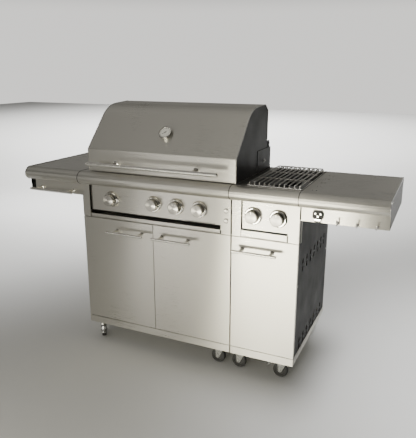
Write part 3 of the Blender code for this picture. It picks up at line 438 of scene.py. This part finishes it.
def socket_screw(radius):
    """A low domed head with a socket, seated at z 0."""
    height = radius * 0.5
    outline = [(0, height * 0.3), (radius * 0.38, height * 0.3), (radius * 0.44, height),
               (radius * 0.75, height * 0.85), (radius * 0.97, height * 0.35), (radius, 0),
               (radius, -0.0004), (0, -0.0004)]
    return lathe(outline, 20)


# Pieces

def object_of(name, shape):
    mesh = bpy.data.meshes.new(name)
    shape.to_mesh(mesh)
    shape.free()
    obj = bpy.data.objects.new(name, mesh)
    bpy.context.scene.collection.objects.link(obj)
    return obj


def soften(obj, width):
    """Smooth shading, and small rounded edges of this width where faces meet at a clear angle."""
    angle = math.radians(35)
    obj.data.shade_smooth()
    obj.data.set_sharp_from_angle(angle=angle)
    if width:
        bevel = obj.modifiers.new("edges", "BEVEL")
        bevel.width = width
        bevel.segments = 2
        bevel.limit_method = "ANGLE"
        bevel.angle_limit = angle
        bevel.harden_normals = True


def piece(name, shape, material, body, bevel=0.0, stands_for=()):
    """A visible object that rides on a body. It may stand in for CAD nodes of that body."""
    obj = object_of(name, shape)
    obj.data.materials.append(material)
    soften(obj, bevel)
    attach(obj, body)
    if stands_for:
        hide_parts(*stands_for)
    return obj


def finish_node(name, material, bevel=0.0):
    """Gives a CAD node that stays visible its material and its edges."""
    node = NODES[name]
    node.data.materials.clear()
    node.data.materials.append(material)
    soften(node, bevel)


def middle(node):
    low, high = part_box(node)
    return (low + high) / 2


STEEL = brushed("brushed_stainless", (0.62, 0.60, 0.54), 0.30, "X")
STEEL_SIDE = brushed("brushed_stainless_side", (0.62, 0.60, 0.54), 0.36, "Y")
TURNED = brushed("turned_stainless", (0.42, 0.405, 0.37), 0.34, "Y", 0.8, True)
BAR = brushed("brushed_bar", (0.74, 0.72, 0.66), 0.22, "X", 0.5)
WIRE = brushed("brushed_wire", (0.60, 0.58, 0.53), 0.34, "Y", 0.5)
# Brushed steel darkened to near black: painted shade for the dark reflection on the shelves' outer ends.
PAINTED_SHADE_BRUSHED = brushed("painted_shade_brushed_stainless", (0.045, 0.044, 0.041), 0.42, "Y", 0.6)
# Polished steel darkened to paint shade: the dark crescent mirrored on the knobs' skirts and the dark
# outline round the buttons.
PAINTED_SHADE_POLISHED = polished("painted_shade_polished_steel", (0.30, 0.29, 0.27), 0.20)
PAN = coated("grey_enamel", (0.20, 0.195, 0.18), 0.45, 900, 0.10)
POLISHED = polished("polished_stainless", (0.80, 0.78, 0.73), 0.14)
DARK = coated("dark_enamel", (0.013, 0.013, 0.012), 0.42, 900, 0.10, 0.22)
PAINTED = coated("grey_paint", (0.013, 0.013, 0.0125), 0.48, 1500, 0.08, 0.14)
IRON = coated("cast_iron", (0.035, 0.034, 0.033), 0.55, 700, 0.6)
ALUMINISED = spangled("aluminised_steel", (0.50, 0.50, 0.48), 0.42, 120)
PLATED = spangled("zinc_plate", (0.66, 0.66, 0.64), 0.26, 300)
TYRE = coated("black_rubber", (0.016, 0.016, 0.016), 0.55, 1200, 0.3)
HUB = coated("hub_plastic", (0.035, 0.035, 0.034), 0.45, 900, 0.1)
# Near-black rubber for the worktop seals, also used for strips and slots that paint the shade in gaps and
# openings.
SEAL_AND_SHADE = coated("seal_rubber_and_painted_shade", (0.006, 0.006, 0.006), 0.7, 1200, 0.2, 0.1)
DIAL = plain("dial_white", (0.80, 0.79, 0.74), 0.3)
INK = plain("dial_ink", (0.02, 0.02, 0.02), 0.4)


def finish_cad_nodes():
    for name in ("control_panel", "side_control_panel", "main_worktop", "side_worktop", "left_shelf",
                 "right_shelf", "hood_shell", "left_door", "right_door", "side_door", "grease_tray",
                 "side_drip_tray", "main_base", "side_base", "main_back_and_right_side",
                 "side_back_and_left_side"):
        finish_node(name, STEEL, 0.0006)
    finish_node("main_side_left", STEEL_SIDE, 0.0006)
    finish_node("side_panel_right", PAINTED, 0.0005)
    for name in ("hood_liner", "rear_housing"):
        finish_node(name, DARK, 0.0005)
    finish_node("side_burner_pan", PAN)
    for name in ("cooking_grate_left", "cooking_grate_right"):
        finish_node(name, IRON, 0.0012)
    finish_node("side_burners", IRON)
    finish_node("firebox", ALUMINISED)
    finish_node("heat_plate", ALUMINISED)
    finish_node("main_burners", STEEL)
    for name in ("warming_rack", "bottle_opener"):
        finish_node(name, POLISHED)


make_camera()
make_studio()
finish_cad_nodes()


# Knobs, bezels and buttons

def make_knobs():
    """For each turning joint a grip with its pointer, a turned face, and a bezel on the panel."""
    knob = [(0, 0.0248), (0.012, 0.0249), (0.0225, 0.0256), (0.0258, 0.0258), (0.0273, 0.0250),
            (0.0280, 0.0236), (0.0280, 0.0120), (0.0276, 0.0114), (0.0276, 0.0106), (0.0280, 0.0100),
            (0.0280, -0.0060), (0.0270, -0.0084), (0.0045, -0.0084), (0.0040, -0.0184), (0, -0.0184)]
    face = [(0, 0.0264), (0.0245, 0.0264), (0.0262, 0.0260), (0.0274, 0.0251), (0.0282, 0.0236),
            (0.0282, 0.0215), (0, 0.0215)]
    bezel = [(0.0402, -0.0110), (0.0400, -0.0095), (0.0384, -0.0060), (0.0352, -0.0012), (0.0338, 0.0002),
             (0.0322, 0.0002), (0.0308, -0.0014), (0.0299, -0.0040), (0.0298, -0.0090), (0.0330, -0.0110)]
    for joint_name, joint in JOINTS.items():
        if not joint_name.endswith("_turn"):
            continue
        body = joint["child"]
        place = Matrix.Translation(joint["pos_m"]) @ FACING_FRONT
        pointer = block((-0.0011, 0.0130, 0.0245), (0.0011, 0.0245, 0.0272))
        grip = placed(joined(lathe(knob, 48), pointer), place)
        # The grip's darkened steel paints the shade mirrored in its skirt.
        piece(f"{body}_grip", grip, PAINTED_SHADE_POLISHED, body, 0.0003, [body])
        piece(f"{body}_face", placed(lathe(face, 48), place), TURNED, body)
        piece(f"{body}_bezel", placed(lathe(bezel, 56, True), place), POLISHED, "cart")


def make_buttons():
    """Two push buttons in rings on the pillar."""
    cap = [(0, 0.0036), (0.005, 0.0039), (0.0074, 0.0045), (0.0082, 0.0042), (0.0085, 0.0034),
           (0.0085, -0.0098), (0, -0.0098)]
    ring = [(0.0118, -0.0001), (0.0118, 0.0008), (0.0112, 0.0016), (0.0102, 0.0018), (0.0094, 0.0012),
            (0.0092, 0.0002), (0.0104, -0.0001)]
    for body in ("igniter_button", "light_button"):
        centre = middle(body)
        place = Matrix.Translation((centre.x, FRONT, centre.z)) @ FACING_FRONT
        piece(f"{body}_cap", placed(lathe(cap, 32), place), TURNED, body, 0, [body])
        # The ring's darkened steel paints a shadow outline round the button.
        piece(f"{body}_ring", placed(lathe(ring, 40, True), place), PAINTED_SHADE_POLISHED, "cart")


# Handles

def bar_on_posts(name, node, body, radius, post_inset, post_radius):
    """A round bar across X with two posts that flare where they meet the sheet."""
    low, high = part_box(node)
    y, z = low.y + radius, (low.z + high.z) / 2
    shapes = [tube([(low.x, y, z), (high.x, y, z)], radius, 24, radius * 0.35)]
    length = high.y - y
    post = [(0, length), (post_radius * 1.9, length), (post_radius * 1.9, length - 0.0015),
            (post_radius * 1.15, length - 0.004), (post_radius, length - 0.008), (post_radius, 0.0),
            (0, 0.0)]
    for x in (low.x + post_inset, high.x - post_inset):
        shapes.append(placed(lathe(post, 20), Matrix.Translation((x, y, z)) @ FACING_BACK))
    piece(name, joined(*shapes), BAR, body, 0, [node])


def make_handles():
    bar_on_posts("hood_bar", "hood_handle", "hood", 0.0095, 0.131, 0.007)
    small = (0.0065, 0.033, 0.005)    # radius, post inset and post radius
    bar_on_posts("towel_rail", "towel_bar", "cart", *small)
    for door in ("left_door", "right_door", "side_door"):
        bar_on_posts(f"{door}_bar", f"{door}_handle", door, *small)


# Casters

def make_casters():
    """For each rolling joint a tyre, a hub and the fork that carries them."""
    tyre = mirrored([(0.0245, 0.0105), (0.0300, 0.0110), (0.0338, 0.0098), (0.0354, 0.0072),
                     (0.0357, 0.0035)])
    hub = mirrored([(0.0046, 0.0112), (0.0090, 0.0112), (0.0100, 0.0100), (0.0110, 0.0072),
                    (0.0225, 0.0066), (0.0240, 0.0098), (0.0252, 0.0098)])
    for joint_name, joint in JOINTS.items():
        if not joint_name.endswith("_roll"):
            continue
        wheel, fork = joint["child"], joint["parent"]
        swivel = JOINTS[joint_name.replace("_roll", "_swivel")]
        centre = Vector(joint["pos_m"])
        across = Vector(joint["axis"])
        place = Matrix.Translation(centre) @ across.to_track_quat("Z", "Y").to_matrix().to_4x4()
        ring = placed(lathe(tyre, 64, True), place)
        piece(f"{wheel}_tyre", ring, TYRE, wheel, 0, [wheel])
        piece(f"{wheel}_hub", placed(lathe(hub, 40, True), place), HUB, wheel)
        make_fork(fork, Vector(swivel["pos_m"]), centre)


def make_fork(body, pivot, axle):
    """Stamped fork, ball race, stem and, on a braked caster, the pedal."""
    low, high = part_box(body)
    plate_top = 0.0978
    trail = Vector((axle.x - pivot.x, axle.y - pivot.y, 0)).length
    heading = math.atan2(pivot.y - axle.y, pivot.x - axle.x)
    place = Matrix.Translation((pivot.x, pivot.y, 0)) @ Matrix.Rotation(heading, 4, "Z")
    frame_shape = joined(*fork_cheeks(trail, axle.z), *fork_head(plate_top, high.z),
                         tube([(-trail, -0.0160, axle.z), (-trail, 0.0160, axle.z)], 0.0040, 16))
    piece(f"{body}_frame", placed(frame_shape, place), PLATED, body, 0.0006, [body])
    braked = (high.xy - low.xy).length > 0.09
    if braked:
        make_pedal(body, place)


def fork_cheeks(trail, height):
    """The fork's two side plates, rounded about the axle, and the nuts on the axle's ends."""
    round_end, inside = 0.0095, 0.0145
    outline = []
    for degrees in range(200, 341, 20):
        turn = math.radians(degrees)
        outline.append((-trail + round_end * math.cos(turn), height + round_end * math.sin(turn)))
    outline += [(0.006, 0.066), (0.0145, 0.0765), (0.0145, 0.0805), (-0.0335, 0.0805), (-0.0335, 0.0765),
                (-0.030, 0.066)]
    nut = [(0, 0.0178), (0.0052, 0.0178), (0.0058, 0.0170), (0.0058, 0.0150), (0, 0.0150)]
    shapes = []
    for side in (-1, 1):
        cheek = prism(outline, side * inside - 0.001, side * inside + 0.001)
        shapes.append(placed(cheek, FACING_BACK @ Matrix.Scale(-1, 4, (0, 1, 0))))
        turned_out = Matrix.Rotation(-side * math.pi / 2, 4, "X")
        shapes.append(placed(lathe(nut, 6), Matrix.Translation((-trail, 0, height)) @ turned_out))
    return shapes


def fork_head(plate_top, stem_top):
    """The fork's crown, the ball race on it and the stem."""
    race = [(0, 0.0810), (0.0175, 0.0810), (0.0190, 0.0835), (0.0190, 0.0860), (0.0170, 0.0885),
            (0.0170, 0.0905), (0.0195, 0.0925), (0.0195, 0.0950), (0.0160, plate_top), (0, plate_top)]
    stem = [(0, plate_top), (0.0062, plate_top), (0.0062, stem_top - 0.001), (0.0052, stem_top),
            (0, stem_top)]
    return [block((-0.0335, -0.0155, 0.0785), (0.0145, 0.0155, 0.0812)), lathe(race, 36), lathe(stem, 20)]


def make_pedal(body, place):
    """A bent brake pedal behind the fork."""
    half_width = 0.0105
    path = rounded_path([(-0.0300, 0, 0.0790), (-0.0600, 0, 0.0770), (-0.0670, 0, 0.0560),
                         (-0.0850, 0, 0.0485)], 0.008)
    sheet = bmesh.new()
    rows = [[sheet.verts.new((point.x, side * half_width, point.z)) for side in (-1, 0, 1)]
            for point in path]
    for row, following in zip(rows, rows[1:]):
        for index in (0, 1):
            sheet.faces.new((row[index], row[index + 1], following[index + 1], following[index]))
    lever = piece(f"{body}_pedal", placed(sheet, place), PLATED, body)
    solidify = lever.modifiers.new("thickness", "SOLIDIFY")
    solidify.thickness = 0.0018
    solidify.offset = 0


# Hood details

def make_thermometer():
    """Chrome case, white dial with ticks, and a needle, square to the slope of the hood."""
    outward = Vector((0, -HOOD_SLOPE.z, HOOD_SLOPE.y))
    seat = HOOD_CREASE + HOOD_SLOPE * 0.082 / HOOD_SLOPE.z
    seat.x = middle("thermometer").x
    place = Matrix.Translation(seat) @ outward.to_track_quat("Z", "Y").to_matrix().to_4x4()
    case = [(0, -0.030), (0.0044, -0.030), (0.0044, 0.0004), (0.0322, 0.0004), (0.0334, 0.0026),
            (0.0334, 0.0100), (0.0322, 0.0134), (0.0302, 0.0145), (0.0286, 0.0136), (0.0280, 0.0112),
            (0, 0.0112)]
    piece("thermometer_case", placed(lathe(case, 64), place), POLISHED, "hood", 0,
          ["thermometer"])
    face = [(0, 0.0113), (0.0277, 0.0113), (0.0277, 0.0118), (0, 0.0118)]
    piece("thermometer_face", placed(lathe(face, 64), place), DIAL, "hood")
    marks = []
    ticks, sweep = 19, 270
    for index in range(ticks):
        turn = Matrix.Rotation(math.radians(sweep / 2 - sweep * index / (ticks - 1)), 4, "Z")
        inner = 0.0205 if index % 3 == 0 else 0.0225
        marks.append(placed(block((-0.0005, inner, 0.0118), (0.0005, 0.0255, 0.0121)), turn))
    needle = [(-0.0014, -0.0070), (0.0014, -0.0070), (0.0004, 0.0195), (-0.0004, 0.0195)]
    marks.append(placed(prism(needle, 0.0124, 0.0129), Matrix.Rotation(math.radians(128), 4, "Z")))
    boss = [(0, 0.0136), (0.0020, 0.0134), (0.0028, 0.0126), (0.0028, 0.0118), (0, 0.0118)]
    marks.append(lathe(boss, 20))
    piece("thermometer_marks", placed(joined(*marks), place), INK, "hood")


def make_hood_edges():
    """Raised folded edges at both ends of the hood, in polished steel brighter than the hood to paint a
    highlight along them, and a hem along its front.
    """
    low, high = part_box("hood_shell")
    width, inset = 0.0040, 0.0045
    path = rounded_path(HOOD_PROFILE, HOOD_RADII, 12)
    edges = [strip(path, start, start + width, -0.0012, 0.0011) for start in (low.x, high.x - width)]
    # Real folded edges in brighter polished steel: painted highlight along the hood's ends.
    piece("hood_edges_and_highlight", joined(*edges), POLISHED, "hood", 0.0008)
    bottom = HOOD_PROFILE[0].z
    path = rounded_path([(0, FRONT + 0.0119, bottom + 0.006), (0, FRONT + 0.0119, bottom + 0.0006),
                         (0, FRONT + 0.022, bottom + 0.0006)], 0.003)
    hem = strip(path, low.x + inset, high.x - inset, -0.0011, 0.0009)
    piece("hood_hem", hem, STEEL, "hood", 0.0003)


def make_hinge_bolts():
    """Hexagon bolts with washers on the sides of the rear housing, and caps on the hood's pins."""
    pin = JOINTS["hood_hinge"]["pos_m"]
    low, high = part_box("hood_shell")
    washer = [(0, 0.0014), (0.0088, 0.0014), (0.0096, 0.0008), (0.0096, 0), (0, 0)]
    head = [(0, 0.0058), (0.0048, 0.0058), (0.0062, 0.0050), (0.0064, 0.0014), (0, 0.0014)]
    cap = [(0, 0.0030), (0.0040, 0.0028), (0.0062, 0.0016), (0.0066, 0.0002), (0, 0.0002)]
    shapes = []
    for wall, facing in ((low.x, FACING_LEFT), (high.x, FACING_RIGHT)):
        place = Matrix.Translation((wall, FRONT + 0.382, 0.963)) @ facing
        shapes += [placed(lathe(washer, 32), place), placed(lathe(head, 6), place)]
        shapes.append(placed(lathe(cap, 24), Matrix.Translation((wall, *pin[1:])) @ facing))
    piece("hinge_bolts", joined(*shapes), PLATED, "cart", 0.0003)


def make_warming_rack():
    """A wire shelf: a frame with rounded corners, cross wires and four legs."""
    low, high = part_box("warming_rack")
    wire, level = 0.003, high.z - 0.0025
    near, far, left, right = low.y + wire, high.y - wire, low.x + wire, high.x - wire
    shapes = [tube(rounded_path(loop(left, right, near, far, level), 0.010), wire, 10)]
    wires = 24
    for index in range(1, wires):
        x = left + (right - left) * index / wires
        shapes.append(tube([(x, near, level + 0.0028), (x, far, level + 0.0028)], 0.0017, 8, 0.0006))
    for x in (left, right):
        for y in (near + 0.020, far - 0.020):
            shapes.append(tube([(x, y, level), (x, y, low.z)], wire, 10, 0.0008))
    piece("warming_rack_wires", joined(*shapes), POLISHED, "cart", 0,
          ["warming_rack"])


# Side burner details

def make_side_grate():
    """Wire bars with both ends bent down to a rod on the deck, over two tie rods. The rods on the deck and
    sleeves over the bars' front legs are in polished steel brighter than the bars, which paints a
    highlight on them.
    """
    low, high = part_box("side_burner_grate")
    wire, bars, pitch = 0.003, 11, 0.0221
    highlight_wire_radius = wire + 0.0003
    near, far, foot, top = low.y + wire, high.y - wire, low.z + wire, high.z - wire
    centre = (low.x + high.x) / 2
    bends, feet = [], []
    for index in range(bars):
        x = centre + pitch * (index - (bars - 1) / 2)
        path = [(x, near, foot), (x, near, top), (x, far, top), (x, far, foot)]
        bends.append(tube(rounded_path(path, 0.006), wire, 12))
        feet.append(tube([(x, near, low.z + 0.001), (x, near, top - 0.004)], highlight_wire_radius, 12))
    for y in (near, far):
        feet.append(tube([(low.x, y, foot), (high.x, y, foot)], highlight_wire_radius, 12, 0.001))
    tie = top - 0.0045
    for y, z, inset in ((far, top, 0.010), (FRONT + 0.155, tie, 0.006), (FRONT + 0.305, tie, 0.006)):
        bends.append(tube([(low.x + inset, y, z), (high.x - inset, y, z)], wire, 12, 0.001))
    piece("side_grate_wires", joined(*bends), WIRE, "cart", 0, ["side_burner_grate"])
    # Painted highlight: the deck rods and the sleeves on the front legs in brighter polished steel.
    piece("side_grate_highlight_wires", joined(*feet), POLISHED, "cart")


def make_pan_rim():
    """The pressed bead around the side burner's opening."""
    low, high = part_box("side_burner_grate")
    path = loop(low.x - 0.005, high.x - 0.003, low.y - 0.008, high.y + 0.008, DECK)
    piece("pan_rim", tube(rounded_path(path, 0.012), 0.0016, 10), STEEL, "cart")


def toothed_ring(teeth, root, tip, low, high):
    """A ring of ports: an outline that steps between two radii."""
    outline = []
    for index in range(teeth):
        for share, radius in ((0.0, root), (0.30, root), (0.38, tip), (0.92, tip)):
            turn = 2 * math.pi * (index + share) / teeth
            outline.append((radius * math.cos(turn), radius * math.sin(turn)))
    return prism(outline, low, high)


def make_burner_heads():
    """Port rings and enamelled caps on the two side burners."""
    cap = [(0, 0.0090), (0.0240, 0.0086), (0.0300, 0.0070), (0.0328, 0.0044), (0.0334, 0.0020),
           (0.0334, 0.0004), (0, 0.0004)]
    rings, caps = [], []
    x = middle("side_burner_grate").x
    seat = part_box("side_burners")[1].z
    for y in (FRONT + 0.135, FRONT + 0.335):
        place = Matrix.Translation((x, y, seat))
        rings.append(placed(toothed_ring(36, 0.0392, 0.0412, -0.008, 0.0004), place))
        caps.append(placed(lathe(cap, 48), place))
    piece("burner_rings", joined(*rings), ALUMINISED, "cart")
    piece("burner_caps", joined(*caps), DARK, "cart")


# Fittings on the fascias, trays and panels

def make_opener():
    """Dark many-sided plate with a chrome lip, two tabs and a screw."""
    low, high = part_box("bottle_opener")
    x, half = (low.x + high.x) / 2, (high.x - low.x) / 2
    right_side = [(0.013, low.z), (0.013, low.z + 0.009), (half, low.z + 0.022), (half, high.z - 0.010),
                  (0.0165, high.z)]
    outline = right_side + [(-across, height) for across, height in reversed(right_side)]
    place = Matrix.Translation((x, FASCIA, 0)) @ FACING_FRONT
    plate = placed(prism(outline, 0.0002, 0.0034), place)
    piece("opener_plate", plate, DARK, "cart", 0.0008, ["bottle_opener"])
    screw = [(0, 0.0060), (0.0040, 0.0058), (0.0052, 0.0045), (0.0052, 0.0030), (0, 0.0030)]
    fittings = [block((tab - 0.0028, low.z + 0.0350, 0.002), (tab + 0.0028, low.z + 0.0400, 0.0095))
                for tab in (-0.0110, 0.0110)]
    fittings.append(placed(lathe(screw, 20), Matrix.Translation((0, low.z + 0.026, 0))))
    piece("opener_tabs", placed(joined(*fittings), place), POLISHED, "cart", 0.0012)
    path = rounded_path([(0, 0, 0.004), (0, -0.0120, 0.004), (0, -0.0120, 0.0165)], 0.005)
    lip = placed(strip(path, -0.0125, 0.0125, -0.0012, 0.0012), Matrix.Translation((x, FASCIA, low.z)))
    piece("opener_lip", lip, POLISHED, "cart", 0.0005)


def make_hooks():
    """Round plates and bent pegs under the right shelf."""
    first, pitch, count = 0.697, 0.077, 3
    rosette = [(0, 0.0026), (0.0052, 0.0026), (0.0068, 0.0018), (0.0074, 0.0), (0, 0.0)]
    shapes = []
    for x in [first + pitch * index for index in range(count)]:
        path = [(x, FASCIA, 0.7965), (x, FRONT - 0.0222, 0.7925), (x, FRONT - 0.0228, 0.8140)]
        shapes.append(tube(rounded_path(path, 0.004), 0.0031, 14, 0.001))
        shapes.append(placed(lathe(rosette, 28), Matrix.Translation((x, FASCIA, 0.7968)) @ FACING_FRONT))
    piece("tool_hooks", joined(*shapes), POLISHED, "cart")


def make_tray_lips():
    """Rolled finger edges along the drip trays' fronts."""
    for tray in ("grease_tray", "side_drip_tray"):
        low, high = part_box(tray)
        y, z = FRONT + 0.0006, low.z + 0.0012
        edge = tube([(low.x + 0.004, y, z), (high.x - 0.004, y, z)], 0.0015, 12, 0.0004)
        piece(f"{tray}_lip", edge, STEEL, tray)


def make_panel_vent():
    """A row of short upright slots in the control panel, above the drip tray's opening: near-black blocks
    on the panel's face that paint the shade seen in the slots.
    """
    pitch, count, half_width, depth = 0.0070, 22, 0.0018, 0.0008
    face = FRONT + PANEL_RECESS
    slots = [block((x - half_width, face - depth, 0.7205), (x + half_width, face, 0.7262))
             for x in [pitch * index for index in range(count)]]
    piece("panel_vent", joined(*slots), SEAL_AND_SHADE, "cart")


def nose_path(out):
    """The rounded front of the worktops, from the deck to the lip, at a distance from the sheet."""
    rounds, rise = 14, (DECK - DECK_LIP) / 2
    path = [Vector((0, FRONT + DECK_DEPTH, DECK + out))]
    for index in range(rounds + 1):
        turn = math.pi * index / rounds
        path.append(Vector((0, FRONT - (NOSE_REACH + out) * math.sin(turn),
                            DECK_LIP + rise + (rise + out) * math.cos(turn))))
    return path


def make_seams():
    """Dark seals in the worktops' joints, a near-black strip that paints the shade in the recess at the
    right shelf's left end, a faint crease along the front, and polished folded ends that paint a highlight
    along them.
    """
    main, side, left, right = [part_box(name) for name in ("main_worktop", "side_worktop", "left_shelf",
                                                         "right_shelf")]
    nose = nose_path(0.0)
    seals = [strip(nose, x - 0.0010, x + 0.0016, -0.0006, 0.0003)
             for x in (main[0].x, main[1].x, side[1].x)]
    # Painted shade: a near-black strip in the recess beside the right shelf's fascia.
    seals.append(block((right[0].x + 0.0002, FASCIA - 0.0010, 0.7905),
                       (right[0].x + 0.0050, FASCIA, PANEL_TOP)))
    piece("worktop_seals_and_shade", joined(*seals), SEAL_AND_SHADE, "cart")
    width, proud = 0.0032, 0.0010
    edges = [strip(nose, start, start + width, -0.0020, 0.0010)
             for start in (left[0].x - proud, right[1].x - width + proud)]
    # Polished strips on the shelves' folded ends, brighter than the sheet: real folds with a painted
    # highlight.
    piece("shelf_edges_and_highlight", joined(*edges), POLISHED, "cart", 0.0008)
    y, z = FRONT + 0.002, DECK - 0.0002
    crease = tube([(left[0].x + 0.004, y, z), (right[1].x - 0.004, y, z)], 0.0009, 8)
    piece("worktop_crease", crease, STEEL, "cart")


def make_shelf_ends():
    """Dark brushed plates on the outer ends of both shelves, which paint the shade of the dark reflection
    those ends show.
    """
    left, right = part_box("left_shelf"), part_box("right_shelf")
    back, foot = right[1].y - 0.001, left[0].z + 0.001
    nose = [Vector((0, back, DECK - 0.0015))] + nose_path(-0.0015)[1:]
    outline = [(point.y, point.z) for point in nose] + [(FASCIA + 0.001, foot), (back, foot)]
    for name, face, outward in (("left_shelf", left[0].x, -1), ("right_shelf", right[1].x, 1)):
        ends = sorted((face - outward * 0.0002, face + outward * 0.0007))
        plate = placed(prism(outline, *ends), PROFILE_TO_X)
        piece(f"{name}_end", plate, PAINTED_SHADE_BRUSHED, "cart")


def make_panel_shade_strips():
    """Near-black strips that paint the shade in the gaps at the recessed panels' sides and feet, beside
    the trays and between the pillars.
    """
    face = FRONT + PANEL_RECESS
    proud, clearance, wall = 0.0003, 0.0003, 0.0008
    main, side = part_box("control_panel"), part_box("side_control_panel")
    shapes = []
    for (low, high), tray in ((main, "grease_tray"), (side, "side_drip_tray")):
        tray_low, tray_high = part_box(tray)
        left, right = low.x + 0.042, high.x - 0.048
        for start in (left, right - wall):
            shapes.append(block((start, FRONT + 0.0018, 0.7180), (start + wall, face, PANEL_TOP)))
        shapes.append(block((left, face - wall, 0.7160), (right, face, 0.7208)))
        shapes.append(block((tray_high.x + clearance, FRONT - proud, tray_low.z),
                            (tray_high.x + 0.0065, FRONT + 0.0020, tray_high.z)))
    shapes.append(block((main[1].x - 0.0006, FRONT - proud, DOOR_TOP + 0.0005),
                        (side[0].x + 0.0006, FRONT + 0.0015, PANEL_TOP)))
    piece("panel_shade_strips", joined(*shapes), SEAL_AND_SHADE, "cart")


def make_screws():
    """Socket screws along the edges of the outer panels."""
    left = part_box("main_side_left")[0].x
    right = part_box("side_panel_right")[1].x
    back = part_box("main_back_and_right_side")[1].y
    low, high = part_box("main_side_left")
    heights = [low.z + 0.030, (low.z + high.z) / 2, high.z - 0.030]
    depths = [low.y + 0.022, high.y - 0.022]
    spots = [((x, y, z), facing) for x, facing in ((left, FACING_LEFT), (right, FACING_RIGHT))
             for y in depths for z in heights]
    for name in ("main_back_and_right_side", "side_back_and_left_side"):
        start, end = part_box(name)[0].x + 0.018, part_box(name)[1].x - 0.018
        count = 4 if end - start > 0.5 else 2
        spots += [((start + (end - start) * index / (count - 1), back, z), FACING_BACK)
                  for index in range(count) for z in heights]
    shapes = [placed(socket_screw(0.0046), Matrix.Translation(spot) @ facing) for spot, facing in spots]
    piece("panel_screws", joined(*shapes), PLATED, "cart")


make_knobs()
make_buttons()
make_handles()
make_casters()
make_thermometer()
make_hood_edges()
make_hinge_bolts()
make_warming_rack()
make_side_grate()
make_pan_rim()
make_burner_heads()
make_opener()
make_hooks()
make_tray_lips()
make_panel_vent()
make_seams()
make_shelf_ends()
make_panel_shade_strips()
make_screws()
